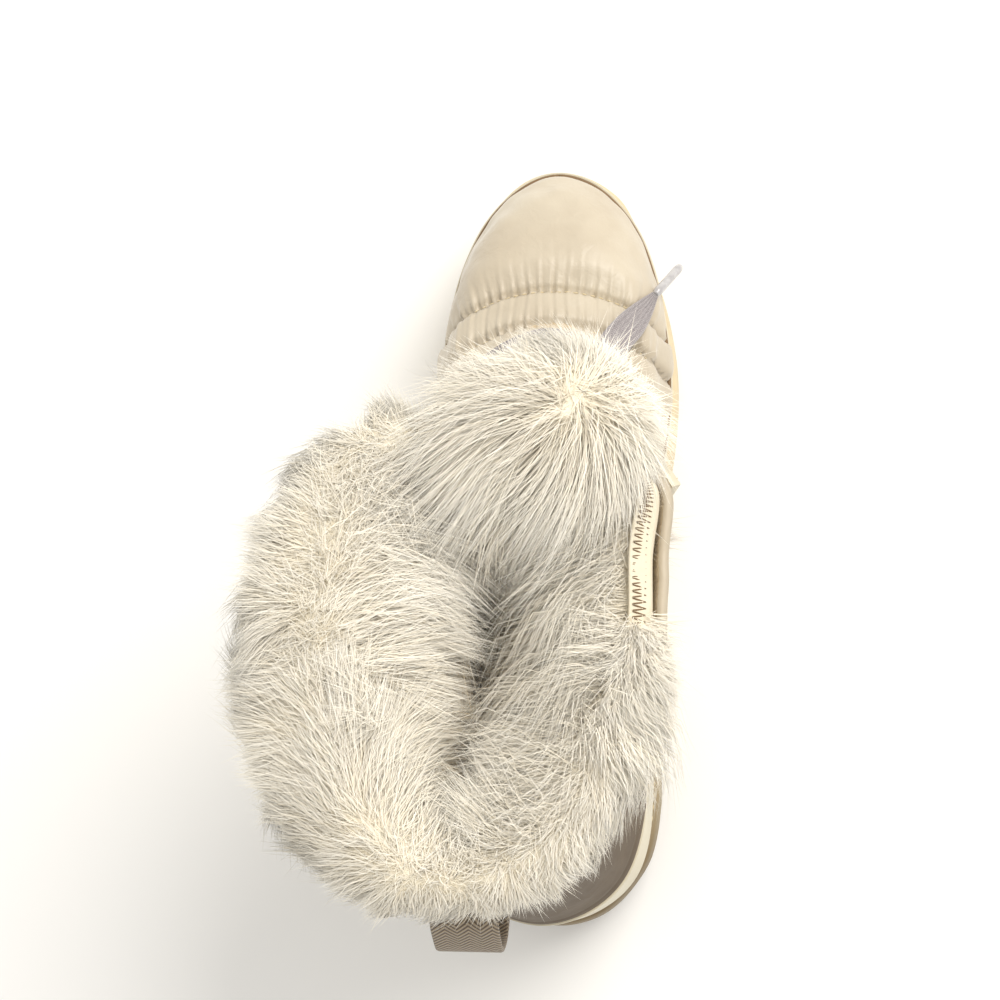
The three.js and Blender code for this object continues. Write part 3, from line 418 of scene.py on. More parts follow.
def rampNode(nodes, links, value, stops):
    node = nodes.new("ShaderNodeValToRGB")
    ramp = node.color_ramp
    while len(ramp.elements) > 1:
        ramp.elements.remove(ramp.elements[0])
    ramp.elements[0].position, ramp.elements[0].color = stops[0][0], (*stops[0][1], 1)
    for at, color in stops[1:]:
        ramp.elements.new(at).color = (*color, 1)
    links.new(value, node.inputs["Fac"])
    return node


def bumpNode(nodes, links, height, strength, distance, before=None):
    node = nodes.new("ShaderNodeBump")
    node.inputs["Strength"].default_value = strength
    node.inputs["Distance"].default_value = distance
    links.new(height, node.inputs["Height"])
    if before:
        links.new(before.outputs["Normal"], node.inputs["Normal"])
    return node


def mathNode(nodes, links, operation, a, b=None):
    node = nodes.new("ShaderNodeMath")
    node.operation = operation
    for k, value in enumerate((a, b)):
        if value is None:
            continue
        if isinstance(value, (int, float)):
            node.inputs[k].default_value = value
        else:
            links.new(value, node.inputs[k])
    return node.outputs[0]


def objectCoordinates(nodes):
    return nodes.new("ShaderNodeTexCoord").outputs["Object"]


def uvCoordinates(nodes, links):
    node = nodes.new("ShaderNodeTexCoord")
    split = nodes.new("ShaderNodeSeparateXYZ")
    links.new(node.outputs["UV"], split.inputs[0])
    return split.outputs["X"], split.outputs["Y"]


def multiplied(nodes, links, one, other):
    mix = nodes.new("ShaderNodeMix")
    mix.data_type, mix.blend_type = "RGBA", "MULTIPLY"
    mix.inputs["Factor"].default_value = 1
    links.new(one, mix.inputs[6])
    links.new(other, mix.inputs[7])
    return mix.outputs[2]


# cloth or leather: mottled colour, soft creases and a fine surface
def clothMaterial(name, light, dark, roughness, mottle=45, crease=220, fine=2200, creaseDepth=0.0006,
                  fineDepth=0.00008, **sockets):
    material, nodes, links, shader = startMaterial(name, light, roughness, **sockets)
    place = objectCoordinates(nodes)
    patch = noiseNode(nodes, links, place, mottle, 4, 0.6)
    color = rampNode(nodes, links, patch.outputs["Fac"], [(0.3, dark), (0.7, light)])
    links.new(color.outputs["Color"], shader.inputs["Base Color"])
    soft = noiseNode(nodes, links, place, crease, 3, 0.55, 0.6)
    grain = noiseNode(nodes, links, place, fine, 2, 0.5)
    bump = bumpNode(nodes, links, soft.outputs["Fac"], 0.6, creaseDepth)
    bump = bumpNode(nodes, links, grain.outputs["Fac"], 0.5, fineDepth, bump)
    links.new(bump.outputs["Normal"], shader.inputs["Normal"])
    wear = rampNode(nodes, links, soft.outputs["Fac"],
                    [(0.2, (roughness * 0.86,) * 3), (0.8, (min(1, roughness * 1.12),) * 3)])
    links.new(wear.outputs["Color"], shader.inputs["Roughness"])
    return material


satinShell = clothMaterial("satinShell", srgb(206, 195, 174), srgb(184, 170, 147), 0.42, mottle=16,
                           crease=160, creaseDepth=0.0007, Sheen_Weight=0.25, Sheen_Roughness=0.4)
smoothTrim = clothMaterial("smoothTrim", srgb(216, 208, 184), srgb(206, 196, 170), 0.4, crease=120,
                           creaseDepth=0.0003, Coat_Weight=0.15, Coat_Roughness=0.35)
# painted shade: the heel counter's taupe is darkened to the tone it has in the fur's shadow
counterShadedTrim = clothMaterial("counterShadedTrim", srgb(98, 83, 63), srgb(84, 70, 53), 0.6, crease=140,
                            creaseDepth=0.0003)
soleFoam = clothMaterial("soleFoam", srgb(216, 200, 166), srgb(206, 189, 154), 0.55, crease=400, fine=3000,
                         creaseDepth=0.0001)


# painted shade: the sole is darker at the heel, where the fur's shadow falls, fading out towards the toe
def shadeHeel(material, tone):  # the colour multiplied by tone at the heel, and less towards the toe
    nodes, links = material.node_tree.nodes, material.node_tree.links
    shader = nodes["Principled BSDF"]
    before = shader.inputs["Base Color"].links[0].from_socket
    split = nodes.new("ShaderNodeSeparateXYZ")
    links.new(objectCoordinates(nodes), split.inputs[0])
    reach = rampNode(nodes, links, mathNode(nodes, links, "MULTIPLY_ADD", split.outputs["Y"], 8.0),
                     [(0.0, tone), (0.6, (1, 1, 1))])
    reach.inputs["Fac"].links[0].from_node.inputs[2].default_value = 0.1
    links.new(multiplied(nodes, links, before, reach.outputs["Color"]), shader.inputs["Base Color"])


soleRubber = clothMaterial("soleRubber", srgb(204, 188, 152), srgb(188, 171, 135), 0.62, crease=300,
                           fine=3200, creaseDepth=0.0001)
# painted shade for the heel end of the foam and rubber soles
heelShade = (0.32, 0.28, 0.22)
shadeHeel(soleFoam, heelShade)
shadeHeel(soleRubber, heelShade)
fleeceLining = clothMaterial("fleeceLining", srgb(222, 204, 172), srgb(198, 176, 140), 0.95, mottle=160,
                             crease=700, fine=2600, creaseDepth=0.002, fineDepth=0.0006, Sheen_Weight=0.5)
# tan for the piping cord and the backing's oversewing; at the foxing's top the brown piping also stands in
# for the seam's shadow line, as painted shade
tanCordAndShadowLine = clothMaterial("tanCordAndShadowLine", srgb(134, 106, 72), srgb(112, 88, 58), 0.6, crease=900,
                          creaseDepth=0.0001)
threadCream = clothMaterial("threadCream", srgb(232, 218, 184), srgb(212, 194, 154), 0.7, crease=2000)
threadTan = clothMaterial("threadTan", srgb(150, 136, 104), srgb(132, 118, 88), 0.7, crease=2000)
backingCloth = clothMaterial("backingCloth", srgb(240, 231, 208), srgb(226, 214, 188), 0.85, crease=900,
                             creaseDepth=0.0003)
pileGround = clothMaterial("pileGround", srgb(254, 246, 224), srgb(250, 236, 206), 0.95, mottle=160,
                           crease=900, fine=2500, creaseDepth=0.0015, fineDepth=0.0005)


def laceMaterial():
    material, nodes, links, shader = startMaterial("laceCord", srgb(176, 166, 166), 0.85, Sheen_Weight=0.4)
    along = uvCoordinates(nodes, links)[0]
    twill = mathNode(nodes, links, "SINE", mathNode(nodes, links, "MULTIPLY", along, 5200.0))
    place = objectCoordinates(nodes)
    fuzz = noiseNode(nodes, links, place, 1500, 3, 0.6)
    mixed = mathNode(nodes, links, "ADD", mathNode(nodes, links, "MULTIPLY", twill, 0.15),
                     fuzz.outputs["Fac"])
    color = rampNode(nodes, links, mixed, [(0.25, srgb(112, 105, 106)), (0.75, srgb(172, 164, 163))])
    links.new(color.outputs["Color"], shader.inputs["Base Color"])
    bump = bumpNode(nodes, links, mixed, 0.6, 0.0002)
    links.new(bump.outputs["Normal"], shader.inputs["Normal"])
    return material


laceCord = laceMaterial()


def shadedWebbingMaterial():  # herringbone: U runs along the strap and V across it, both in metres
    material, nodes, links, shader = startMaterial("webbing", srgb(150, 130, 104), 0.9, Sheen_Weight=0.3)
    along, across = uvCoordinates(nodes, links)
    fold = mathNode(nodes, links, "PINGPONG", across, 0.0035)
    slant = mathNode(nodes, links, "ADD", along, mathNode(nodes, links, "MULTIPLY", fold, 1.1))
    rib = mathNode(nodes, links, "SINE", mathNode(nodes, links, "MULTIPLY", slant, 2 * math.pi / 0.0019))
    shade = mathNode(nodes, links, "MULTIPLY_ADD", rib, 0.5)
    shade.node.inputs[2].default_value = 0.5
    place = objectCoordinates(nodes)
    fuzz = noiseNode(nodes, links, place, 1800, 3, 0.6)
    mixed = mathNode(nodes, links, "ADD", mathNode(nodes, links, "MULTIPLY", shade, 0.7),
                     mathNode(nodes, links, "MULTIPLY", fuzz.outputs["Fac"], 0.4))
    # herringbone ribs, with all shades darkened as painted shade, the loop lying in the boot's shadow
    color = rampNode(nodes, links, mixed, [(0.15, srgb(74, 62, 48)), (0.5, srgb(120, 104, 82)),
                                           (0.95, srgb(172, 155, 130))])
    links.new(color.outputs["Color"], shader.inputs["Base Color"])
    bump = bumpNode(nodes, links, mixed, 0.8, 0.0004)
    links.new(bump.outputs["Normal"], shader.inputs["Normal"])
    return material


webbing = shadedWebbingMaterial()


# a plain finish with soft clouds of two shades
def cloudMaterial(name, base, roughness, scale, dark, light, **sockets):
    material, nodes, links, shader = startMaterial(name, base, roughness, **sockets)
    cloud = noiseNode(nodes, links, objectCoordinates(nodes), scale, 3, 0.5)
    color = rampNode(nodes, links, cloud.outputs["Fac"], [(0.3, dark), (0.7, light)])
    links.new(color.outputs["Color"], shader.inputs["Base Color"])
    return material


agletSleeve = cloudMaterial("agletSleeve", srgb(188, 186, 186), 0.18, 500, srgb(170, 167, 167),
                            srgb(196, 194, 193), Coat_Weight=0.8, Coat_Roughness=0.08)
rivetMetal = cloudMaterial("rivetMetal", srgb(190, 180, 160), 0.3, 900, srgb(150, 140, 120),
                           srgb(214, 206, 188), Metallic=0.9)


# U runs from root to tip; V is low for a bright strand and high for one deep in the boot, which gets painted
# shade
def furMaterial(name, root, middle, tip):
    material, nodes, links, shader = startMaterial(name, middle, 0.75, Sheen_Weight=0.3, Sheen_Roughness=0.5)
    along, strand = uvCoordinates(nodes, links)
    shade = rampNode(nodes, links, along, [(0.0, root), (0.38, middle), (1.0, tip)])
    # a random tone for each strand, plus painted shade: strands deep in the boot are drawn darker and tanner
    strandToneAndShade = rampNode(nodes, links, strand, [
        (0.0, (1, 1, 1)), (0.25, (0.99, 0.975, 0.95)), (0.45, (0.95, 0.915, 0.85)),
        (0.6, (0.9, 0.81, 0.67)), (1.0, (0.8, 0.64, 0.42))])
    color = multiplied(nodes, links, shade.outputs["Color"], strandToneAndShade.outputs["Color"])
    links.new(color, shader.inputs["Base Color"])
    return material


creamPile = furMaterial("creamPile", srgb(251, 241, 218), srgb(255, 248, 231), srgb(255, 252, 243))
print("finishes made")


# many copies of one small shape, given by their places and frames (rows: along, across, face)
def repeatShape(name, shape, places, frames, material):
    corners, faces = shape
    count = len(places)
    points = np.einsum("vk,nkj->nvj", corners, frames) + places[:, None, :]
    tri = faces[None] + (np.arange(count) * len(corners))[:, None, None]
    mesh = bpy.data.meshes.new(name)
    mesh.from_pydata(list(map(tuple, points.reshape(-1, 3) * mm)), [],
                     tri.reshape(-1, faces.shape[1]).tolist())
    mesh.shade_smooth()
    piece = bpy.data.objects.new(name, mesh)
    bpy.context.collection.objects.link(piece)
    mesh.materials.append(material)
    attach(piece, "root")
    return piece


def shapeOf(bm):
    bmesh.ops.triangulate(bm, faces=bm.faces)
    corners = np.array([v.co[:] for v in bm.verts])
    faces = np.array([[v.index for v in f.verts] for f in bm.faces])
    bm.free()
    return corners, faces


def stitchShape(length, radius):
    bm = bmesh.new()
    bmesh.ops.create_icosphere(bm, subdivisions=1, radius=1)
    bmesh.ops.scale(bm, verts=bm.verts, vec=(length / 2, radius, radius * 0.8))
    return shapeOf(bm)


# evenly spaced places along a dense line, each with its direction and the way its face looks
def spaced(line, faces, pitch, start=0.5):
    line, faces = np.asarray(line), np.asarray(faces)
    run = np.concatenate([[0], np.cumsum(np.linalg.norm(np.diff(line, axis=0), axis=1))])
    at = np.arange(start * pitch, run[-1], pitch)
    place = np.stack([np.interp(at, run, line[:, k]) for k in range(3)], -1)
    ahead = (np.stack([np.interp(at + 0.6, run, line[:, k]) for k in range(3)], -1)
             - np.stack([np.interp(at - 0.6, run, line[:, k]) for k in range(3)], -1))
    face = np.stack([np.interp(at, run, faces[:, k]) for k in range(3)], -1)
    ahead = unit(ahead)
    across = np.cross(face, ahead)
    across = unit(across)
    return place, np.stack([ahead, across, np.cross(ahead, across)], 1)


threadSize = {"length": 2.3, "radius": 0.27, "pitch": 3.1}
threadShape = stitchShape(threadSize["length"], threadSize["radius"])


def stitchRows(name, rows, material, pitch=None):
    made = [spaced(line, faces, pitch or threadSize["pitch"]) for line, faces in rows]
    return repeatShape(name, threadShape, np.concatenate([m[0] for m in made]),
                       np.concatenate([m[1] for m in made]), material)


def formRow(levels, turns, offset):  # a line on the form and its normals
    return form(levels, turns, offset), formNormal(levels, turns)


def levelFor(turn, heightAt):  # the level at which the form is as high as heightAt(y)
    turn = np.asarray(turn, float)
    low, high = np.zeros(turn.shape), np.full(turn.shape, float(topLevel))
    for _ in range(20):
        middle = (low + high) / 2
        p = bareForm(middle, turn)
        under = p[..., 2] < heightAt(p[..., 1])
        low, high = np.where(under, middle, low), np.where(under, high, middle)
    return (low + high) / 2


# the loose end of the lace and the sleeve on its tip come first

laceSize = {
    "width": 11.0, "thickness": 1.4, "ribs": 6,
    "route": [(27.2, 99.5, 128.5, 2.2), (29.5, 105, 134, 3.2), (28.5, 113, 135, 4.4), (24, 122, 129, 5.2),
              (19, 132, 118.5, 5.5), (16.5, 142, 108.5, 5.5), (18, 151.5, 99, 5.5), (22.2, 162, 87.5, 5.5),
              (27.2, 171.5, 76.5, 5.2), (31.6, 181, 64.8, 3.4), (34.5, 187.7, 57, 1.5)],
    "agletAim": (11.9, 18.1, -13), "agletRadius": 1.7, "agletStart": 0.3,
}


def ribbedSection(ribs, thickness):
    x = np.linspace(-1, 1, ribs * 5 + 1)
    swell = np.abs(np.sin((x + 1) / 2 * ribs * np.pi)) ** 0.8
    edge = np.sqrt(np.clip(1 - np.abs(x) ** 14, 0, 1))
    z = thickness / 2 * (0.2 + 0.8 * swell) * edge
    return list(zip(x, z)) + list(zip(x[::-1][1:-1], -z[::-1][1:-1]))


def makeLaceEnd():
    route = np.array(laceSize["route"])
    faces = [(0.3, 1.2, 0.6) if i < 2 else (0.3, 0.7, 0.6) if i < 7 else (0.65, 0.4, 0.75)
             for i in range(len(route))]
    section = ribbedSection(laceSize["ribs"], laceSize["thickness"])
    piece, length = sweepPiece("laceLooseEnd", route[:, :3], faces, section, laceCord, steps=90,
                               scale=(0.129, 0.025), widths=route[:, 3])
    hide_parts("lace_end")
    root = route[-1, :3]
    aim = np.array(laceSize["agletAim"])
    aim = unit(aim)
    profile = [(0.3, 0.66), (1.2, 0.8), (2.2, 0.98), (4, 1), (10, 0.97), (17, 1), (18.4, 0.92),
               (19.4, 0.72), (20.3, 0.35)]
    points = [root + aim * (laceSize["agletStart"] + at) for at, _ in profile]
    ring = [(math.cos(a), math.sin(a)) for a in np.linspace(0, 2 * np.pi, 25)[:-1]]
    radii = [size * laceSize["agletRadius"] for _, size in profile]
    sleeve, _ = sweepPiece("agletSleeve", points, [(0.65, 0.4, 0.75)] * len(points), ring, agletSleeve,
                           steps=48, widths=radii, thicks=radii)
    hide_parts("aglet")
    run = np.concatenate([[0], np.cumsum(np.linalg.norm(np.diff(route[:, :3], axis=0), axis=1))]) / length
    at = np.linspace(0, 1, 31)
    path = np.stack([through(list(zip(run, route[:, k])), at) for k in range(3)], -1) * mm


makeLaceEnd()
print("lace end made")

# outsole: a plate with rows of chevron lugs and a line of pads

soleSize = {
    "lug": 4.0, "pitch": 15.0, "lugWidth": 8.0, "pad": 8.0, "around": 260, "lip": 7.0,
    "sipeInset": 1.6, "sipeWidth": 0.25, "sipeDepth": 0.7, "heelShare": 0.36, "archShare": 0.52,
}


# rings of (inset, height) from the middle of the underside up
def slabPiece(name, rings, material, columns=None, plan=soleEdge):
    rings = [rings[0]] + rings + [rings[-1]]

    def place(u, v):
        turn = -1 + 2 * u
        k = v * (len(rings) - 1)
        result = np.zeros((len(u), 3))
        for i, (inset, height) in enumerate(rings):
            here = np.abs(k - i) < 0.5
            edge = plan(turn[here], inset)
            if i in (0, len(rings) - 1):
                other = plan(-turn[here], inset)
                edge = (edge + other) / 2
            result[here] = np.concatenate([edge, height(edge[:, 1])[:, None]], 1)
        return result
    return gridPiece(name, columns or soleSize["around"], len(rings) - 1, place, material)


def makeOutsole():
    bottom = lambda up: (lambda y: lift(y) + soleSize["lug"] + up)
    rings = [(12, bottom(0.15)), (5, bottom(0.1)), (3.2, bottom(0)), (2.5, bottom(0.5)), (1.8, bottom(1.2)),
             (1.6, bottom(1.7)), (1.4, bottom(3.7)), (1.8, bottom(4)), (5, bottom(4)), (14, bottom(4))]
    plate = slabPiece("outsolePlate", rings, soleRubber)
    bm = bmesh.new()
    rows = int((bootSize["length"] - soleSize["lugWidth"]) / soleSize["pitch"])

    def block(corners):
        low, high = [], []
        for x, y in corners:
            low.append(bm.verts.new((x * mm, y * mm, float(lift(y)) * mm)))
            high.append(bm.verts.new((x * mm, y * mm, (float(lift(y)) + soleSize["lug"] + 1) * mm)))
        face = bm.faces.new(low[::-1])
        bm.faces.new(high)
        walls = [bm.faces.new((low[i], low[(i + 1) % len(low)], high[(i + 1) % len(low)], high[i]))
                 for i in range(len(low))]
        upright = {e for w in walls for e in w.edges if abs((e.verts[0].co - e.verts[1].co).z) > 3 * mm}
        edges = list(set(face.edges) | upright)
        bmesh.ops.inset_individual(bm, faces=[face], thickness=soleSize["sipeInset"] * mm, depth=0)
        bmesh.ops.inset_individual(bm, faces=[face], thickness=soleSize["sipeWidth"] * mm,
                                   depth=-soleSize["sipeDepth"] * mm)
        bmesh.ops.bevel(bm, geom=edges, offset=0.5 * mm, affect="EDGES", segments=2, profile=0.5, material=-1)

    for i in range(rows):
        middle = rearY + soleSize["lugWidth"] + i * soleSize["pitch"]
        y = middle - soleSize["lugWidth"] / 2
        heelPart, s = share(y) < soleSize["heelShare"], float(share(y))
        archPart = (not heelPart) and s < soleSize["archShare"]
        sweep = 3 if heelPart else -4
        halfAt = lambda q: bootSize["ball"] * float(through(soleHalf, angleAt(share(q))))
        c = float(centreLine(y))
        for side in (1, -1):
            inside = soleSize["pad"] + 3
            outside = min(halfAt(y - sweep), halfAt(y + soleSize["lugWidth"] - sweep)) - 4
            reach = (inside + outside) / 2 if archPart else outside
            if reach - inside < 5:
                continue
            ring = [(c + side * inside, y), (c + side * reach, y - sweep),
                    (c + side * reach, y - sweep + soleSize["lugWidth"]),
                    (c + side * inside, y + soleSize["lugWidth"])]
            block(ring if side > 0 else ring[::-1])
        r = soleSize["pad"] * (0.75 if i % 2 else 1)
        pad = [(float(centreLine(middle)) + r * math.cos(a), middle + 0.75 * r * math.sin(a))
               for a in (np.arange(4) + 0.5) * np.pi / 2]
        block(pad)
    lugs = newObject("outsoleLugs", bm, soleRubber, smooth=False)
    for piece in (plate, lugs):
        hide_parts("outsole")


makeOutsole()


def makeMidsole():
    low = lambda y: lift(y) + 8.3
    top = lambda y: seat(y) + soleSize["lip"]
    at = lambda k: (lambda y: low(y) + (top(y) - low(y)) * k)
    deep = lambda y: seat(y) - 0.3
    lipIn = bootSize["footInset"] - 2.2
    steps = [(16, 0), (3.2, 0), (2.2, 0.01), (1.2, 0.04), (0.4, 0.1), (0.1, 0.22), (0, 0.36), (0.05, 0.5),
             (0.5, 0.53), (1.35, 0.55), (1.4, 0.58), (1.35, 0.61), (0.5, 0.64), (0.15, 0.67), (0.1, 0.75),
             (0.35, 0.86), (0.6, 0.92), (0.95, 0.97), (1.5, 1), (2.4, 1.0), (3.3, 1.0)]
    rings = [(inset, at(k)) for inset, k in steps]
    rings += [(lipIn, lambda y: top(y) - 0.5), (lipIn + 0.02, lambda y: deep(y) + 0.5), (lipIn + 0.6, deep),
              (18, deep)]
    cup = slabPiece("midsoleCup", rings, soleFoam)
    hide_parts("midsole")
    plan = soleEdge(np.linspace(-1, 1, 1400), 2.6)
    line = np.concatenate([plan, (top(plan[:, 1]) + 0.02)[:, None]], 1)
    upward = np.tile([0.0, 0, 1], (len(line), 1))
    stitches = stitchRows("midsoleStitching", [(line, upward)], threadCream, 4.2)


makeMidsole()


def makeInsole():
    def plan(turn, inset):
        return form(np.zeros(np.shape(turn)), turn, -3.3 - inset)[..., :2]
    bed = lambda up: (lambda y: seat(y) + up)
    rings = [(12, bed(0.6)), (1, bed(0.6)), (0, bed(1.2)), (0, bed(3.6)), (0.6, bed(4.4)), (1.6, bed(4.6)),
             (12, bed(4.6))]
    board = slabPiece("insoleBoard", rings, fleeceLining, 160, plan)
    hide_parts("insole")


makeInsole()
print("sole made")


# upper: one skin over the form with pillows, seams and gathers, and a fleece lining inside

upperSize = {
    "columns": 284, "rimRow": 8.5, "rimLevel": 8.501, "channel": 2.0, "thirdBand": 1.6,
    "seamDepth": 2.9, "seamWidth": 1.0,
    "gather": 1.25, "gatherPitch": 3.6, "crease": 0.95, "sideSeam": 10.5,
}
foxingTop = [(-0.1, 34), (0.05, 34), (0.16, 30), (0.3, 23), (0.5, 20), (0.72, 20), (0.88, 18), (1.1, 18)]
counterTop = [(62, 0.17), (84, 0.13), (94, 0.1), (104, 0.06)]
counterHeight = counterTop[-1][0]
staySize = {"low": 8.9, "high": 15.0, "gap": 1.2, "width": 13.0, "stitch": 2.2}


def foxingHeight(y):
    return seat(y) + through(foxingTop, share(y))


def softPuff(level, turn, p):
    place = seamPlace(p)
    overFoxing = p[..., 2] - foxingHeight(p[..., 1])
    toe = ease(150, 165, place) * ease(-2, 4, overFoxing)
    gapOne = np.abs(place - seamPlaces[0])
    gapTwo = np.abs(place - seamPlaces[1])
    middle = (seamPlaces[0] + seamPlaces[1]) / 2
    reach = (seamPlaces[0] - seamPlaces[1]) / 2
    channel = np.sqrt(np.clip(1 - ((place - middle) / reach) ** 2, 0, 1))
    third = np.sqrt(np.clip(1 - ((place - (seamPlaces[1] - 5.5)) / 5.5) ** 2, 0, 1))
    raised = upperSize["channel"] * channel + upperSize["thirdBand"] * third
    trough = np.exp(-(gapOne / upperSize["seamWidth"]) ** 2) + np.exp(-(gapTwo / upperSize["seamWidth"]) ** 2)
    raised = raised - upperSize["seamDepth"] * trough
    wander = noise(p, 14, 3) * 1.7 + noise(p, 5, 4) * 0.5
    phase = p[..., 0] * 2 * np.pi / upperSize["gatherPitch"] + wander
    ripple = np.sin(phase) * 0.6 + np.sin(phase * 1.73 + 1.3) * 0.4
    toeSide = np.where(place > seamPlaces[0], 1.0, 0.45)
    near = toeSide * np.exp(-gapOne / 4.5) + np.where(place > seamPlaces[1], 1, 0.5) * np.exp(-gapTwo / 3.2)
    raised = raised + upperSize["gather"] * ripple * np.minimum(near, 1)
    folds = noise(p * np.array([1, 0.55, 0.8]), 13, 8) + 0.5 * noise(p, 6.5, 9)
    raised = raised + upperSize["crease"] * folds
    edgeSwell = 1.5 * np.exp(-((overFoxing - 4.5) / 4.0) ** 2)
    raised = toe * raised + ease(0, 3, overFoxing) * edgeSwell * ease(120, 160, place)
    # quarters: a long seam with soft pillows over and under it
    away = (level - upperSize["sideSeam"]) * 8.5
    part = ease(0.26, 0.32, np.abs(turn)) * (1 - ease(0.7, 0.76, np.abs(turn)))
    quarter = 1.1 * np.sqrt(np.clip(1 - (away / 16) ** 2, 0, 1)) * (1 - np.exp(-(away / 4.0) ** 2))
    quarter = quarter - 1.3 * np.exp(-(away / 1.1) ** 2)
    ripples = np.sin(p[..., 1] * 2 * np.pi / 8.5 + noise(p, 12, 5) * 2) * np.exp(-np.abs(away) / 6) * 0.5
    sides = part * (quarter + ripples) + 0.45 * noise(p, 17, 12) + 0.25 * noise(p, 8, 13)
    raised = raised + (1 - ease(150, 165, place)) * ease(-1, 5, overFoxing) * sides
    return raised


def coveredBy(level, turn, p):  # 1 where an overlay lies on the upper
    foxing = 1 - ease(-0.5, 1.5, p[..., 2] - foxingHeight(p[..., 1]))
    rise = p[..., 2] - bootSize["heelSeat"]
    front = through([(0, 0.2)] + counterTop, np.clip(rise, 0, counterHeight))
    counter = 1 - ease(-0.004, 0.012, share(p[..., 1]) - front)
    counter = counter * (1 - ease(counterHeight - 0.5, counterHeight + 2, rise))
    nearTurn = np.abs(besideThroat(np.clip(level, 8.8, 15.5), np.sign(turn) + (turn == 0), staySize["gap"]))
    edge = bareForm(level, nearTurn * np.sign(turn))
    away = np.linalg.norm(p - edge, axis=-1)
    stay = ease(8.5, 8.9, level) * (1 - ease(15.0, 15.2, level)) * (1 - ease(13.2, 15.2, away))
    return np.clip(np.maximum(np.maximum(foxing, counter), stay), 0, 1)


def makeUpper():
    rows = np.concatenate([np.linspace(0, 2, 7)[:-1], np.linspace(2, 8.5, 64)[:-1],
                           np.linspace(8.5, 9.3, 10)[:-1], np.linspace(9.3, 16, 30)])
    count = len(rows)

    def place(u, v):
        level = np.interp(v * (count - 1), np.arange(count), rows)
        opened = level >= upperSize["rimRow"]
        high = np.maximum(level[opened], upperSize["rimLevel"])
        reach = {side: np.ones(len(level)) for side in (1.0, -1.0)}
        for side, edge in reach.items():
            edge[opened] = np.abs(besideThroat(high, side, 0.0))
        k = -1 + 2 * u
        k = np.sign(k) * np.interp(np.abs(k), [0, 0.36, 1], [0, 0.62, 1])
        turn = np.where(k < 0, k * reach[-1.0], k * reach[1.0])
        p = bareForm(level, turn)
        extra = softPuff(level, turn, p)
        covered = coveredBy(level, turn, p)
        extra = extra * (1 - covered) - 0.1 * covered
        return form(level, turn, np.where(level > 1.2, extra, 0))
    piece = gridPiece("upperShell", upperSize["columns"], count - 1, place, satinShell)
    piece.data.materials.append(fleeceLining)
    addModifier(piece, "SOLIDIFY", "wall", thickness=bootSize["wall"] * mm, offset=-1, use_even_offset=False,
                material_offset=1, material_offset_rim=0)
    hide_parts("upper")
    # stitches down in the seam troughs
    rows = []
    for seam in seamPlaces:
        line, faces = seamLine(seam)
        rows.append((line - faces * 0.9, faces))
    for side in (1, -1):
        turns = side * np.linspace(0.3, 0.74, 160)
        rows.append(formRow(np.full(160, upperSize["sideSeam"]), turns, np.full(160, -0.9)))
    stitchRows("upperStitching", rows, threadCream)


def seamLine(seam):  # a stitched arc over the toe, from the outer foxing to the inner one
    levels = np.linspace(3.2, 8.45, 90)
    found = []
    for side in (-1, 1):
        low, high = np.full(90, 0.45), np.full(90, 1.0)
        for _ in range(24):
            middle = (low + high) / 2
            before = seamPlace(bareForm(levels, side * middle)) < seam
            low, high = np.where(before, middle, low), np.where(before, high, middle)
        turn = (low + high) / 2
        p = bareForm(levels, side * turn)
        keep = (turn < 0.9999) & (p[:, 2] > foxingHeight(p[:, 1]) + 1)
        kept = (levels[keep], side * turn[keep])
        found.append(kept if side < 0 else tuple(row[::-1] for row in kept))
    levels, turns = (np.concatenate(pair) for pair in zip(*found))
    return formRow(levels, turns, np.zeros(len(levels)))


makeUpper()
print("upper made")


# overlays on the form: foxing, heel counter and the facings beside the throat

def layPatch(name, columns, rows, place, material, thickness, bevel, slot, *nodes):
    piece = gridPiece(name, columns, rows, place, material)
    addModifier(piece, "SOLIDIFY", "wall", thickness=thickness * mm, offset=-1, use_even_offset=False)
    addModifier(piece, "BEVEL", "edge", width=bevel * mm, segments=2, limit_method="ANGLE",
                angle_limit=math.radians(55))
    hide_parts(*nodes)
    return piece


def makeFoxing():
    def levels(turn, drop):
        return levelFor(turn, lambda y: foxingHeight(y) - drop)

    def place(u, v):
        turn = -1 + 2 * u
        base = levelFor(turn, lambda y: seat(y) + 0.4)
        top = levels(turn, 0)
        k = np.where(v < 0.6, v / 0.6 * 0.75, 0.75 + (v - 0.6) / 0.4 * 0.25)
        level = base + (top - base) * k
        p = bareForm(level, turn)
        drop = foxingHeight(p[:, 1]) - p[:, 2]
        fold = 0.45 * (1 - ease(1.6, 2.3, drop)) - 0.35 * np.exp(-((drop - 2.9) / 0.5) ** 2)
        wave = 0.12 * noise(p, 11, 21)
        return form(level, turn, 1.9 + fold + wave)
    layPatch("foxingBand", 260, 28, place, smoothTrim, 1.6, 0.4, "smooth_trim", "foxing")
    turns = np.linspace(-1, 1, 1500)
    row = formRow(levels(turns, 2.9), turns, np.full(1500, 1.75))
    stitchRows("foxingStitching", [row], threadTan, 2.6)
    # brown piping along the foxing's top edge, darkened as painted shade for the seam's shadow line
    turns = np.linspace(-1, 1, 181)
    line, faces = formRow(levels(turns, -0.6), turns, np.full(181, 1.0))
    section = [(0.85 * math.cos(a), 0.85 * math.sin(a)) for a in np.linspace(0, 2 * np.pi, 9)[:-1]]
    cord, _ = sweepPiece("foxingPiping", line, faces, section, tanCordAndShadowLine, steps=300)


makeFoxing()


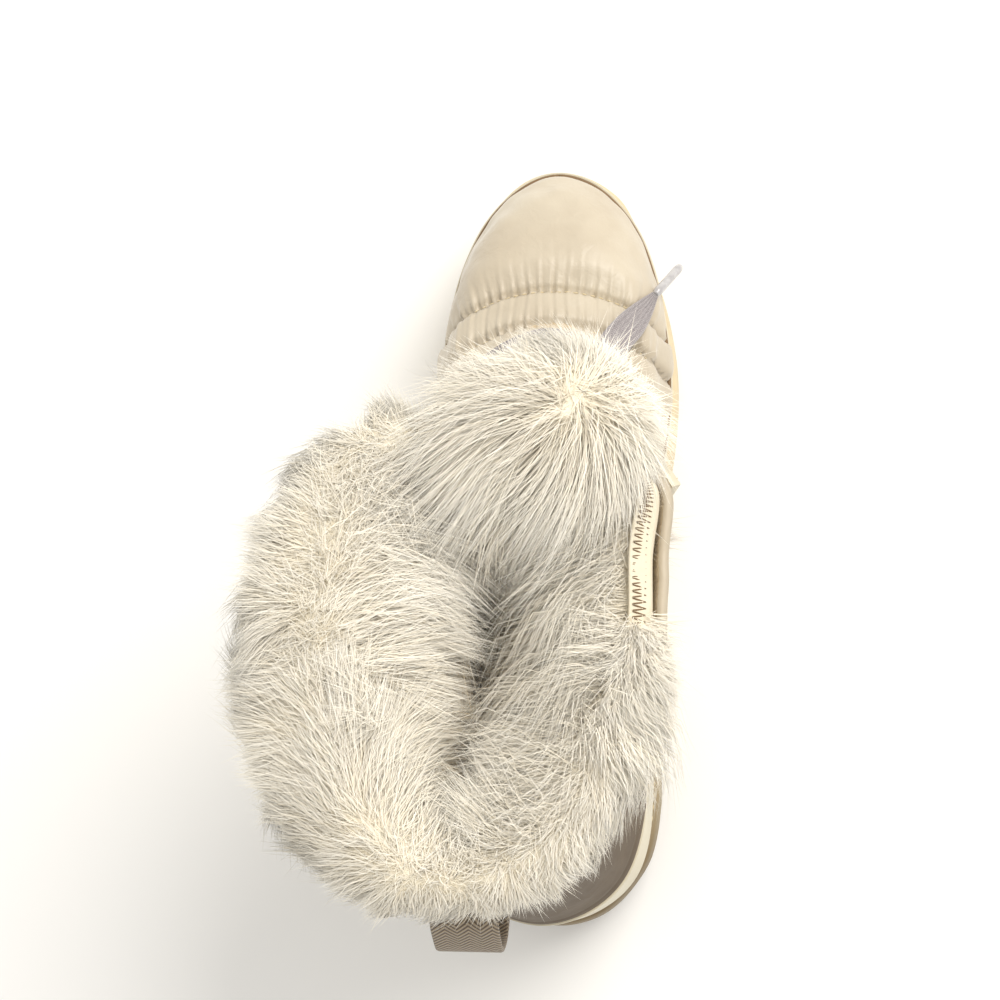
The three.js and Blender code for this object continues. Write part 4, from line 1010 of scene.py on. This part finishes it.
def makeCounter():
    heelSeat = bootSize["heelSeat"]
    fronts = [(0, 0.2)] + counterTop

    def frontTurn(z, level):
        s = through(fronts, np.clip(z - heelSeat, 0, counterHeight))
        low, high = np.zeros(len(z)), np.full(len(z), 0.6)
        for _ in range(22):
            middle = (low + high) / 2
            before = share(bareForm(level, middle)[:, 1]) < s
            low, high = np.where(before, middle, low), np.where(before, high, middle)
        return (low + high) / 2

    def spot(u, v):
        k = -1 + 2 * u
        turn = np.zeros(len(u))
        level = np.zeros(len(u))
        for _ in range(3):
            low = levelFor(turn, lambda y: foxingHeight(y) + 0.6)
            high = levelFor(turn, lambda y: heelSeat + counterHeight)
            level = low + (high - low) * v
            z = bareForm(level, turn)[:, 2]
            turn = k * frontTurn(z, level)
        return level, turn

    def place(u, v):
        level, turn = spot(u, v)
        p = bareForm(level, turn)
        over = p[:, 2] - foxingHeight(p[:, 1])
        groove = np.exp(-((over - 4.5) / 0.55) ** 2)
        edge = np.minimum(np.minimum(u, 1 - u) * 90, (1 - v) * 75)
        fold = 0.3 * (1 - ease(1.4, 2.0, edge)) - 0.3 * np.exp(-((edge - 2.7) / 0.5) ** 2)
        return form(level, turn, 1.9 + 0.15 * noise(p, 13, 31) - 0.45 * groove + fold)
    layPatch("heelCounter", 76, 56, place, counterShadedTrim, 1.55, 0.35, "counter_trim", "counter")
    rim = np.linspace(0, 1, 160)
    inset = 2.7 / 90
    sides = [spot(np.full(160, inset), rim * 0.96), spot(inset + (1 - 2 * inset) * rim, np.full(160, 0.964)),
             spot(np.full(160, 1 - inset), rim * 0.96)]
    stitchRows("counterStitching", [formRow(a, b, np.full(160, 1.8)) for a, b in sides], threadCream)


makeCounter()


def makeEyestay(side, word):
    def spot(u, v):
        level = staySize["low"] + (staySize["high"] - staySize["low"]) * u
        near = besideThroat(level, side, staySize["gap"])
        far = awayFrom(level, near, staySize["width"])
        return level, near + (far - near) * v

    def place(u, v):
        level, turn = spot(u, v)
        edge = np.minimum(np.minimum(v, 1 - v) * staySize["width"], np.minimum(u, 1 - u) * 70)
        fold = 0.3 * (1 - ease(1.0, 1.6, edge)) - 0.3 * np.exp(-((edge - 2.2) / 0.45) ** 2)
        return form(level, turn, 1.9 + fold + 0.1 * noise(bareForm(level, turn), 9, 41))
    layPatch("eyestay" + word, 70, 22, place, smoothTrim, 1.55, 0.35, "smooth_trim",
             "eyestay_" + word.lower())
    line, inset = np.linspace(0.03, 0.97, 140), staySize["stitch"] / staySize["width"]
    rows = [formRow(*spot(line, np.full(140, k)), np.full(140, 1.75)) for k in (inset, 1 - inset)]
    rows += [formRow(*spot(np.full(40, k), np.linspace(0.17, 0.83, 40)), np.full(40, 1.75))
             for k in (0.031, 0.969)]
    stitchRows("eyestayStitching" + word, rows, threadCream, 2.8)


makeEyestay(1, "Medial")
makeEyestay(-1, "Lateral")


tongueSize = {"low": 7.6, "high": 17.0, "half": 31.0, "sink": 4.3, "thickness": 3.6}


def makeTongue():
    def place(u, v):
        level = tongueSize["low"] + (tongueSize["high"] - tongueSize["low"]) * v
        inner = np.clip(level, 8.6, 16)
        half = np.minimum(through(throatLine, inner) + 5, tongueSize["half"]) * ease(7.3, 8.6, level) ** 0.5
        ridge = bareForm(np.minimum(level, 16), 1.0)[:, 0]
        k = -1 + 2 * u
        low, high = np.full(len(u), 0.3), np.full(len(u), 1.0)
        for _ in range(22):
            middle = (low + high) / 2
            wide = np.abs(bareForm(level, np.sign(k) * middle)[:, 0] - ridge) > np.abs(k) * half
            low, high = np.where(wide, middle, low), np.where(wide, high, middle)
        turn = np.where(k < 0, -1, 1) * (low + high) / 2
        p = bareForm(level, turn)
        pad = 0.5 * noise(p, 12, 51) + 0.6 * np.sin(v * np.pi * 9) ** 2
        return p + formNormal(np.minimum(level, 15.9), turn) * (pad * 0.8 - tongueSize["sink"])[:, None]
    piece = gridPiece("tonguePad", 44, 70, place, satinShell)
    piece.data.materials.append(fleeceLining)
    addModifier(piece, "SOLIDIFY", "pad", thickness=tongueSize["thickness"] * mm, offset=-1,
                use_even_offset=False, material_offset=1)
    addModifier(piece, "BEVEL", "edge", width=0.9 * mm, segments=3, limit_method="ANGLE",
                angle_limit=math.radians(60))
    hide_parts("tongue")


makeTongue()
print("overlays and tongue made")


# lace loops on the facings, and the lace crossing through them

loopSize = {"rows": [9.15, 10.2, 11.25, 12.3], "seat": 2.5, "width": 10.0, "height": 5.0, "length": 8.0,
            "half": 0.6, "strap": 1.15}


@functools.lru_cache(maxsize=None)
def loopFrame(level, side):
    level = np.array([float(level)])
    turn = awayFrom(level, besideThroat(level, side, staySize["gap"]), staySize["width"] / 2)
    face = formNormal(level, turn)[0]
    up = (form(level + 0.4, turn, 0.0) - form(level - 0.4, turn, 0.0))[0]
    up = unit(up)
    across = np.cross(face, up)
    across = unit(across)
    return form(level, turn, loopSize["seat"])[0], face, np.cross(across, face), across


def flatSection(width, thickness, steps=8):  # a strap's section with rounded edges
    half, t = width / 2, thickness / 2
    x = np.linspace(-half + t, half - t, steps)
    arc = np.linspace(0, np.pi, 5)[1:-1]
    top = [(a, t) for a in x]
    right = [(half - t + t * math.sin(a), t * math.cos(a)) for a in arc]
    low = [(a, -t) for a in x[::-1]]
    left = [(-half + t - t * math.sin(a), -t * math.cos(a)) for a in arc]
    return top + right + low + left


def makeLaceLoops():
    t = loopSize["half"]
    half, high = loopSize["width"] / 2 - t, loopSize["height"] - t
    arch = [(0, t), (0.6 * half, t), (half - 0.7, t + 0.05), (half, t + 0.9), (half, high - 1.4),
            (half - 0.55, high - 0.35), (half - 1.7, high), (0, high + 0.1), (1.7 - half, high),
            (0.55 - half, high - 0.35), (-half, high - 1.4), (-half, t + 0.9), (0.7 - half, t + 0.05),
            (-0.6 * half, t), (0, t)]
    for side, word in ((1, "medial"), (-1, "lateral")):
        for i, level in enumerate(loopSize["rows"]):
            origin, face, _, across = loopFrame(level, side)
            points, ups = [], []
            for x, y in arch:
                points.append(origin + across * x + face * y)
                out = np.array([x, y - high * 0.5])
                if y <= t + 0.06:
                    out = np.array([0, -1.0])
                out = unit(out)
                ups.append(across * out[0] + face * out[1])
            piece, _ = sweepPiece(f"laceLoop{word.capitalize()}{i + 1}", points, ups,
                                  flatSection(loopSize["length"], loopSize["strap"]), smoothTrim,
                                  steps=72)
            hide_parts(f"lace_loop_{word}_{i + 1}")


makeLaceLoops()


def makeLacing():
    def inLoop(level, side, shift, lifted=0.0):
        origin, face, up, _ = loopFrame(level, side)
        return origin + face * (loopSize["height"] / 2 + lifted) + up * shift, face

    def over(level, offset):
        face = formNormal(level, 1.0).copy()
        face[0] = 0
        return form(np.array([level]), np.array([1.0]), offset)[0], face / np.linalg.norm(face)
    strips = []
    section = ribbedSection(laceSize["ribs"], laceSize["thickness"])

    def strand(points, faces, widths, steps):
        piece, length = sweepPiece("laceStrip", points, faces, section, laceCord, steps=steps, widths=widths,
                                   scale=(0.001, 0.025))
        for loop in piece.data.uv_layers[0].data:
            loop.uv[0] *= length
        strips.append(piece)

    def bar(start, middle, stop):
        def part(a, k):
            point = a[0] * (1 - k) + middle[0] * k + middle[1] * 1.8
            face = a[1] * (1 - k) + middle[1] * k
            return point, face / np.linalg.norm(face)
        line = [start, part(start, 0.45), middle, part(stop, 0.45), stop]
        strand([q[0] for q in line], [q[1] for q in line], [2.4, 3.96, 3.96, 3.96, 2.4], 26)
    end, rows = loopSize["length"] / 2, loopSize["rows"]
    bar(inLoop(rows[0], -1, -end - 3, 1), over(rows[0] - 0.32, 7.2), inLoop(rows[0], 1, -end - 3, 1))
    for row in range(len(rows) - 1):
        for side in (1, -1):
            middle = over((rows[row] + rows[row + 1]) / 2, 7 if side > 0 else 8)
            bar(inLoop(rows[row], side, end + 3, 1), middle, inLoop(rows[row + 1], -side, -end - 3, 1))
    for side in (1, -1):
        for level in rows:
            last = 1 if level == rows[-1] else 3.4
            a, b = inLoop(level, side, -end - 3.4), inLoop(level, side, end + last)
            strand([a[0], (a[0] + b[0]) / 2, b[0]], [a[1]] * 3, [2.9] * 3, 12)
    piece = joinPieces("laceBars", strips)
    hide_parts("lacing")


makeLacing()
print("lacing made")

# webbing loop on the back seam

pullSize = {"backY": -27.4, "reach": 14.0, "drop": 35.0, "lowZ": 133.0, "centreX": -18.0, "width": 20.0,
            "thickness": 1.8}


def makePullLoop():
    line = [(0.1, -0.03), (0.0, 0.04), (-0.02, 0.3), (0.02, 0.8), (0.14, 0.97), (0.4, 0.98), (0.74, 0.78),
            (1, 0.5), (0.86, 0.2), (0.5, 0.02), (0.2, -0.04), (0.05, 0.0)]
    centre = np.array([pullSize["backY"] - 0.45 * pullSize["reach"],
                       pullSize["lowZ"] + pullSize["drop"] / 2])
    points, ups = [], []
    for out, up in line:
        y, z = pullSize["backY"] - out * pullSize["reach"], pullSize["lowZ"] + up * pullSize["drop"]
        away = np.array([(y - centre[0]) / pullSize["reach"], (z - centre[1]) / pullSize["drop"]])
        away = unit(away)
        points.append((pullSize["centreX"], y, z))
        ups.append((0, away[0], away[1]))
    section = flatSection(pullSize["width"], pullSize["thickness"], 24)
    piece, _ = sweepPiece("pullLoop", points, ups, section, webbing, steps=150, scale=(0.098, 0.0436))
    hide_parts("pull_loop")


makePullLoop()


tabSize = {"drop": 14 / 16, "width": 8.0, "rivet": 2.1}


def makeTab():
    def spot(u, v):
        level = topLevel - tabSize["drop"] + (tabSize["drop"] - 0.03) * u
        near = besideThroat(level, 1, 0.5)
        far = awayFrom(level, near, tabSize["width"])
        return level, near + (far - near) * v

    def place(u, v):
        level, turn = spot(u, v)
        edge = np.minimum(v, 1 - v) * tabSize["width"]
        return form(level, turn, 3.2 + 0.25 * (1 - ease(0.7, 1.2, edge)))
    layPatch("collarTab", 40, 24, place, smoothTrim, 2.9, 0.5, "smooth_trim", "collar_tab")
    level, turn = spot(np.array([0.24]), np.array([0.5]))
    centre, face = form(level, turn, 3.2)[0], formNormal(level, turn)[0]
    up = (form(level + 0.2, turn, 0) - form(level - 0.2, turn, 0))[0]
    up = unit(up)
    across = np.cross(up, face)
    circle = [centre + (across * math.cos(a) + up * math.sin(a)) * tabSize["rivet"] + face * 0.25
              for a in np.linspace(0, 2 * np.pi, 25)]
    section = [(0.55 * math.cos(a), 0.5 * math.sin(a)) for a in np.linspace(0, 2 * np.pi, 11)[:-1]]
    ring, _ = sweepPiece("tabRivet", circle, [face] * 25, section, rivetMetal, steps=48)
    line = np.linspace(0.06, 0.97, 60)
    rows = [formRow(*spot(line, np.full(60, k)), np.full(60, 3.35)) for k in (0.2, 0.8)]
    stitchRows("tabStitching", rows, threadCream, 2.6)


makeTab()


# the pile's knitted backing shows inside the inner end of the collar, oversewn to the shell

collarEnd = 0.87  # the form's turn where the collar ends beside the throat


def bandSpot(turn, along):  # along the band's section, out to in
    angle = turn * collarEnd
    offset = np.interp(along, [0, 0.3, 0.6, 1], [-5.4, -6.0, -7.6, -11.5])
    height = np.interp(along, [0, 0.3, 0.6, 1], [0.5, 4.6, 6.6, 8.0])
    return form(np.full(np.shape(turn), 16.0), angle, offset) + np.stack([0 * height, 0 * height, height], -1)


def makeBackingBand():
    def place(u, v):
        turn = 0.44 + (1.0 - 0.44) * u
        p = bandSpot(turn, v)
        return p + np.stack([0 * u, 0 * u, 0.35 * noise(p, 6, 61)], -1)
    piece = gridPiece("pileBacking", 120, 16, place, backingCloth)
    addModifier(piece, "SOLIDIFY", "wall", thickness=0.9 * mm, offset=1, use_even_offset=False)
    turns = np.linspace(0.46, 0.99, 96)
    rows = []
    for i in range(len(turns) - 1):
        a, b = (0.42, 0.98) if i % 2 else (0.98, 0.42)
        rows.append(bandSpot(np.array([turns[i], turns[i + 1]]), np.array([a, b])))
    places = np.array([(r[0] + r[1]) / 2 for r in rows])
    ahead = np.array([r[1] - r[0] for r in rows])
    lengths = np.linalg.norm(ahead, axis=1, keepdims=True)
    ahead /= lengths
    outside = formNormal(np.full(len(rows), 16.0), (turns[:-1] + turns[1:]) / 2 * collarEnd)
    face = outside * 0.3 + np.array([0, 0, 0.95])
    across = np.cross(face, ahead)
    across = unit(across)
    face = np.cross(ahead, across)
    frames = np.stack([ahead * lengths / threadSize["length"], across, face], 1)
    zigzag = repeatShape("backingStitching", threadShape, places + face * 1.2, frames, tanCordAndShadowLine)


makeBackingBand()
print("loop, tab and backing made")

# deep pile: a ground made from the CAD pile solids, and strands rooted on it

pileSize = {
    "voxel": 2.6, "sink": 0.6, "heart": (7.0, 110.9, 179.0), "ceiling": 214.0,
    "tufts": [(11.0, 0.30, 1.3, 81), (5.0, 0.34, 1.2, 87), (2.0, 0.3, 1.0, 93)],
    "undercoat": {"collar": 53000, "lobe": 15000, "band": 3500, "radius": 0.2, "length": 0.78, "rings": 1},
    "guard": {"collar": 27500, "lobe": 9000, "band": 1600, "radius": 0.125, "length": 1.0, "rings": 2},
}
pileTurns = [-1, -0.86, -0.7, -0.5, -0.3, -0.14, 0, 0.14, 0.28, 0.4, 0.52, 1]
pileOuter = [18, 21, 23, 22, 20, 16, 12, 13, 14, 18, 18, 8]
pileInner = [36, 38, 36, 32, 28, 26, 28, 33, 40, 42, 42, 38]
pileRise = [0.5, 0.5, 0.5, 0.45, 0.45, 0.5, 0.6, 0.8, 1.0, 1.1, 1.1, 1.1]


def pileGroundOf(name, node):
    source = bpy.data.objects[node]
    bm = bmesh.new()
    bm.from_mesh(source.data)
    bmesh.ops.remove_doubles(bm, verts=bm.verts, dist=1e-6)
    piece = newObject(name, bm, pileGround)
    addModifier(piece, "REMESH", "skin", mode="VOXEL", voxel_size=pileSize["voxel"] * mm,
                use_smooth_shade=True)
    addModifier(piece, "SMOOTH", "soften", factor=0.6, iterations=6)
    depsgraph = bpy.context.evaluated_depsgraph_get()
    bm = bmesh.new()
    bm.from_mesh(piece.evaluated_get(depsgraph).to_mesh())
    bm.normal_update()
    for v in bm.verts:
        v.co = v.co - v.normal * pileSize["sink"] * mm
    piece.modifiers.clear()
    bm.to_mesh(piece.data)
    bm.free()
    piece.data.shade_smooth()
    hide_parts(node)
    return piece


def meshArrays(piece):
    mesh = piece.data
    mesh.calc_loop_triangles()
    corners = np.zeros(len(mesh.vertices) * 3)
    mesh.vertices.foreach_get("co", corners)
    tris = np.zeros(len(mesh.loop_triangles) * 3, int)
    mesh.loop_triangles.foreach_get("vertices", tris)
    normals = np.zeros(len(mesh.vertices) * 3)
    mesh.vertices.foreach_get("normal", normals)
    return corners.reshape(-1, 3) / mm, tris.reshape(-1, 3), normals.reshape(-1, 3)


def scatter(piece, count, weigh, rng):
    corners, tris, normals = meshArrays(piece)
    a, b, c = (corners[tris[:, k]] for k in range(3))
    across = np.cross(b - a, c - a)
    area = np.linalg.norm(across, axis=1)
    area = area * weigh((a + b + c) / 3) * (0.55 + 0.45 * ease(-0.3, 0.5, across[:, 2] / area))
    pick = np.sort(rng.choice(len(tris), count, p=area / area.sum()))
    r1, r2 = np.sqrt(rng.random(count)), rng.random(count)
    w = np.stack([1 - r1, r1 * (1 - r2), r1 * r2], -1)
    place = np.einsum("nk,nkj->nj", w, corners[tris[pick]])
    normal = np.einsum("nk,nkj->nj", w, normals[tris[pick]])
    return place, normal / np.linalg.norm(normal, axis=1, keepdims=True)


collarTurns = np.linspace(-collarEnd, collarEnd, 700)
collarEdge = bareForm(np.full(700, 16.0), collarTurns)
collarOut = formNormal(np.full(700, 15.9), collarTurns)
collarOut[:, 2] = 0
collarOut = unit(collarOut)


def collarNear(place):  # the nearest of the collar edge's points
    return np.argmin(((place[:, None, :2] - collarEdge[None, :, :2]) ** 2).sum(-1), axis=1)


def combed(flow, normal, place, size, amount, seed):  # laid along the surface, with wandering partings
    flow = flow * np.stack([np.ones(len(flow))] * 2 + [1 - ease(0.35, 0.85, normal[:, 2])], -1)
    sway = np.stack([noise(place, size, seed + k) + 0.7 * noise(place, size * 0.4, seed + 11 + k)
                     for k in range(3)], -1)
    flow = flow + amount * sway
    flow = flow - normal * (flow * normal).sum(1)[:, None]
    return unit(flow)


def collarFlow(place, normal, rng):  # from the crest outwards and down, and inside down into the boot
    near = collarNear(place)
    out, turn = collarOut[near], collarTurns[near] / collarEnd
    across = ((place - collarEdge[near]) * out).sum(1)
    high = place[:, 2] - collarEdge[near][:, 2]
    crest = np.interp(turn, [-1, -0.6, -0.2, 0, 0.35, 0.45, 0.62, 0.72, 1],
                      [-1, -3, -3, -3, -7, -15, -17, -11, -11])
    along = np.cross(out, [0, 0, 1.0])
    gap = across - crest
    way = np.tanh((gap + 5 * noise(place, 5, 66) + 6 * rng.normal(0, 1, len(gap))) / 5.0)
    flow = out * way[:, None] + along * (0.9 * (1 - way ** 2))[:, None] + np.array([0, 0, -0.3])
    under = (high < 0) & (across > 0)
    flow[under] = out[under] * 0.25 + np.array([0, 0, -1.0])
    inner = (across < -8) & (high < 8)
    flow[inner] = -out[inner] * 0.5 + np.array([0, 0, -0.8])
    lean = (np.where(gap < 0, np.interp(turn, [0.2, 0.5, 1], [0, 0.7, 0.7]), 0)
            - np.where(turn < -0.5, 0.15, 0))
    flow = flow + along * lean[:, None]
    flow = combed(flow, normal, place, 24, 0.75, 71)
    top = np.exp(-(gap / 6.5) ** 2) * (high > 2)
    outer, inside, rise = (np.interp(turn, pileTurns, row) for row in (pileOuter, pileInner, pileRise))
    mixed = ease(-6, 6, gap)
    length = inside * (1 - mixed) + outer * mixed + 8 * ease(-0.6, -0.85, turn) * (across < 0)
    length = length * (1 - 0.2 * top)
    lift = 0.2 * mixed + rise * 0.8 * (1 - mixed)
    lift = lift * (1 - 0.45 * top) + 0.12 * top
    onBand = ease(0.34, 0.42, turn) * (1 - ease(0.62, 0.68, turn)) * ease(-2, 1, gap)
    lift = np.maximum(lift, 0.95 * onBand)
    length = np.maximum(length, 22 * onBand)
    # painted shade: strands deep inside the opening, below the crest, are marked for a darker colour
    deep = ease(-6, 20, -high) * ease(1, 8, -gap)
    return flow, length, lift, 0.3 + 0.7 * top, deep, turn, across, high


def bandHair(count, rng):  # hair that grows on the back half of the band and falls out over it
    turn = 0.42 + 0.2 * rng.random(count)
    along = 0.1 + 0.9 * rng.random(count)
    place = bandSpot(turn, along) + np.array([0, 0, 0.4])
    out = collarOut[collarNear(place)]
    normal = unit(out * 0.25 + np.array([0, 0, 1.0]))
    way = np.tanh((0.8 - along + 0.3 * rng.normal(0, 1, count)) / 0.25)
    flow = combed(out * way[:, None] + np.cross(out, [0, 0, 1.0]) * 0.5, normal, place, 24, 0.75, 71)
    length = 20 - 8 * ease(0.56, 0.62, turn)
    return place, normal, flow, length, np.full(count, 0.4), np.full(count, 0.7), np.zeros(count)


def lobeFlow(place, normal, rng):  # forward over the lobe and down, and behind it down into the boot
    rel = place - np.array(pileSize["heart"])
    forward = ease(2, 12, rel[:, 1] + 6 * noise(place, 5, 68) + 7 * rng.normal(0, 1, len(rel)))
    flow = np.stack([0.015 * rel[:, 0] - 0.35, -0.7 + 1.7 * forward, -0.75 + 0.4 * forward], -1)
    low = (rel[:, 2] < 0) & (rel[:, 1] > 6)
    flow[low] = np.array([-0.1, 0.2, -1.0])
    flow = combed(flow, normal, place, 22, 0.8, 75)
    top = np.exp(-((rel[:, 1] - 7) / 7.0) ** 2) * (rel[:, 2] > 2)
    length = 46 - 29 * ease(-2, 16, rel[:, 1]) - 2 * top
    lift = (0.62 - 0.42 * ease(0, 12, rel[:, 1]) - 0.3 * ease(-6, 2, rel[:, 1]) * (1 - ease(2, 12, rel[:, 1]))
            ) * (1 - 0.3 * top) + 0.08 * top
    sides = ease(13, 25, rel[:, 0]) + 0.4 * ease(16, 28, -rel[:, 0])
    length = length * (1 - 0.5 * sides)
    lift = lift * (1 - 0.55 * sides)
    # painted shade: strands low behind the lobe are marked for a darker colour
    deep = ease(-9, 14, -rel[:, 2]) * ease(-8, 4, -rel[:, 1])
    return flow, length, lift, 0.3 + 0.7 * top, deep


def tuftOf(place, gap, seed):  # the tuft that each strand belongs to, one to a cell of a jittered grid
    cell = np.floor(place / gap).astype(np.int64)
    best = np.full(len(place), 1e9)
    code = np.zeros(len(place), np.int64)
    for step in itertools.product((-1, 0, 1), repeat=3):
        near = cell + np.array(step)
        spot = (near + np.stack([hash3(near, seed + k) for k in range(3)], -1)) * gap
        away = ((place - spot) ** 2).sum(1)
        closer = away < best
        best[closer] = away[closer]
        code[closer] = ((near[closer] + 512) * np.array([1 << 20, 1 << 10, 1])).sum(1)
    return np.unique(code, return_inverse=True)[1].reshape(-1)


def tuftMean(lines, owner):  # each strand's line replaced by the mean line of its tuft
    flat = lines.reshape(len(lines), -1)
    mean = np.stack([np.bincount(owner, column) for column in flat.T], -1) / np.bincount(owner)[:, None]
    return mean[owner].reshape(lines.shape)


def growStrands(name, place, normal, flow, length, lift, rough, deep, rng, kind):
    count, rings = len(place), kind["rings"]
    t = np.linspace(0, 1, rings + 1)[None, :, None]

    def curve(f):
        return (place[:, None] + normal[:, None] * (lift * length)[:, None, None] * (1.45 * t - 0.85 * t * t)
                + f[:, None] * length[:, None, None] * (0.28 * t + 0.64 * t * t)
                + np.array([0, 0, -1.0]) * length[:, None, None] * 0.10 * t * t)
    line = curve(unit(flow + rough[:, None] * rng.normal(0, 1, (count, 3))))
    for gap, pull, sway, seed in pileSize["tufts"]:
        wander = unit(flow + sway * np.stack([noise(place, gap * 1.3, seed + k) for k in range(3)], -1))
        lead = tuftMean(curve(wander), tuftOf(place, gap, seed))
        line = line + (lead - line) * pull * t ** 1.4
    line = line + rng.normal(0, 0.5, line.shape) * t
    over = line[..., 2] - pileSize["ceiling"]
    line[..., 2] -= np.maximum(over, 0) * 0.55
    ahead = unit(np.gradient(line, axis=1))
    side = unit(np.cross(ahead, normal[:, None] + 0.01))
    face = np.cross(side, ahead)
    thick = kind["radius"] * np.linspace(1, 0.8, rings) * (0.75 + 0.5 * rng.random((count, 1)))
    spokes = np.stack([side[:, :rings] * math.cos(a) + face[:, :rings] * math.sin(a)
                       for a in (0.5, 2.594, 4.689)], 2)
    corners = line[:, :rings, None] + spokes * thick[..., None, None]
    size = rings * 3 + 1
    points = np.concatenate([corners.reshape(count, rings * 3, 3), line[:, rings:]], 1)
    tris = [(0, 1, 2)]
    for k in range(3):
        j = (k + 1) % 3
        for low in range(0, rings * 3 - 3, 3):
            tris += [(low + j, low + k, low + 3 + j), (low + 3 + j, low + k, low + 3 + k)]
        tris.append((size - 4 + j, size - 4 + k, size - 1))
    faces = (np.array(tris)[None] + (np.arange(count) * size)[:, None, None]).reshape(-1, 3)
    mesh = bpy.data.meshes.new(name)
    mesh.vertices.add(count * size)
    mesh.vertices.foreach_set("co", (points * mm).reshape(-1))
    mesh.loops.add(len(faces) * 3)
    mesh.loops.foreach_set("vertex_index", faces.reshape(-1))
    mesh.polygons.add(len(faces))
    mesh.polygons.foreach_set("loop_start", np.arange(len(faces)) * 3)
    mesh.update(calc_edges=True)
    mesh.shade_smooth()
    soft = np.concatenate([spokes.reshape(count, rings * 3, 3), ahead[:, rings:]], 1) * 0.22
    soft = unit(soft + normal[:, None] * 0.75 + np.array([0, 0, 0.3]))
    mesh.normals_split_custom_set_from_vertices(soft.reshape(-1, 3))
    layer = mesh.uv_layers.new(name="UVMap")
    along = np.append(np.repeat(np.linspace(0, 1, rings + 1)[:-1], 3), 1)
    # a random tone for each strand, plus painted shade for strands deep in the boot
    tone = np.repeat(0.45 * rng.random(count) + 0.55 * deep, size)
    uv = np.stack([np.tile(along, count), tone], -1)[faces.reshape(-1)]
    layer.data.foreach_set("uv", uv.reshape(-1))
    piece = bpy.data.objects.new(name, mesh)
    bpy.context.collection.objects.link(piece)
    mesh.materials.append(creamPile)
    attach(piece, "root")
    return piece


def makePile():
    rng = np.random.default_rng(42)
    collarGround = pileGroundOf("collarPileGround", "collar_pile")
    lobeGround = pileGroundOf("tonguePileGround", "tongue_pile")

    def weighCollar(p):
        near = np.argmin(((p[:, None, :2] - collarEdge[None, ::5, :2]) ** 2).sum(-1), axis=1) * 5
        high = p[:, 2] - collarEdge[near][:, 2]
        across = ((p - collarEdge[near]) * collarOut[near]).sum(1)
        deep = np.where((high < -22) & (across < 0), 0.3, 1.0)
        return deep * np.where((high < -4) & (across < 1) & (across > -6), 0.1, 1)

    def weighLobe(p):
        return np.where(p[:, 2] < 155, 0.35, 1.0)
    for kind in ("undercoat", "guard"):
        sizes = pileSize[kind]
        place, normal = scatter(collarGround, sizes["collar"], weighCollar, rng)
        flow, length, lift, rough, deep, turn, across, high = collarFlow(place, normal, rng)
        length = length * sizes["length"] * (0.72 + 0.5 * rng.random(len(place)))
        lift = lift + 0.08 * noise(place, 12, 90)
        facing = (normal * collarOut[collarNear(place)]).sum(1)
        hidden = (high < 1) & (across < 2) & (facing > -0.3)
        bare = (turn > 0.30) & (across > -9.5) & ((turn > 0.64) | (high < 4))
        strap = (np.abs(place[:, 0] + 18) < 12.5) & (place[:, 1] < -22) & (place[:, 2] < 172)
        keep = ~(bare | strap | hidden)
        place, normal, flow, length, lift, rough, deep = (
            a[keep] for a in (place, normal, flow, length, lift, rough, deep))
        grown = zip((place, normal, flow, length, lift, rough, deep), bandHair(sizes["band"], rng))
        place, normal, flow, length, lift, rough, deep = (np.concatenate(pair) for pair in grown)
        around = np.argsort(np.arctan2(place[:, 1] - 45, place[:, 0] + 10))
        for i, cut in enumerate(np.array_split(around, 2)):
            parts = (a[cut] for a in (place, normal, flow, length, lift, rough, deep))
            growStrands(f"collarPile{kind.capitalize()}{i + 1}", *parts, rng, sizes)
        place, normal = scatter(lobeGround, sizes["lobe"], weighLobe, rng)
        flow, length, lift, rough, deep = lobeFlow(place, normal, rng)
        length = length * sizes["length"] * (0.72 + 0.5 * rng.random(len(place)))
        growStrands(f"tonguePile{kind.capitalize()}", place, normal, flow, length, lift, rough, deep,
                    rng, sizes)


makePile()
print("pile made")

# plain stage: pale floor, soft lights

stageSize = {"floor": (244, 243, 240), "world": 0.84, "key": 18.5, "keySize": 1.0,
             "keyPlace": (0.62, 0.75, 1.35)}


def makeStage():
    bm = bmesh.new()
    bmesh.ops.create_grid(bm, x_segments=1, y_segments=1, size=4)
    material = startMaterial("paleFloor", srgb(*stageSize["floor"]), 0.7)[0]
    mesh = bpy.data.meshes.new("floor")
    bm.to_mesh(mesh)
    bm.free()
    floor = bpy.data.objects.new("floor", mesh)
    mesh.materials.append(material)
    bpy.context.collection.objects.link(floor)
    world = bpy.data.worlds.new("softSky")
    world.use_nodes = True
    sky = world.node_tree.nodes["Background"]
    sky.inputs["Color"].default_value = (1.0, 0.985, 0.96, 1)
    sky.inputs["Strength"].default_value = stageSize["world"]
    bpy.context.scene.world = world
    lamp = bpy.data.lights.new("keyLight", "AREA")
    lamp.shape, lamp.size, lamp.energy = "DISK", stageSize["keySize"], stageSize["key"]
    lamp.color = (1.0, 0.97, 0.93)
    light = bpy.data.objects.new("keyLight", lamp)
    light.location = stageSize["keyPlace"]
    light.rotation_mode = "QUATERNION"
    way = Vector((0, 0.1, 0.1)) - Vector(stageSize["keyPlace"])
    light.rotation_quaternion = way.to_track_quat("-Z", "Y")
    bpy.context.collection.objects.link(light)


makeStage()
print("stage made")
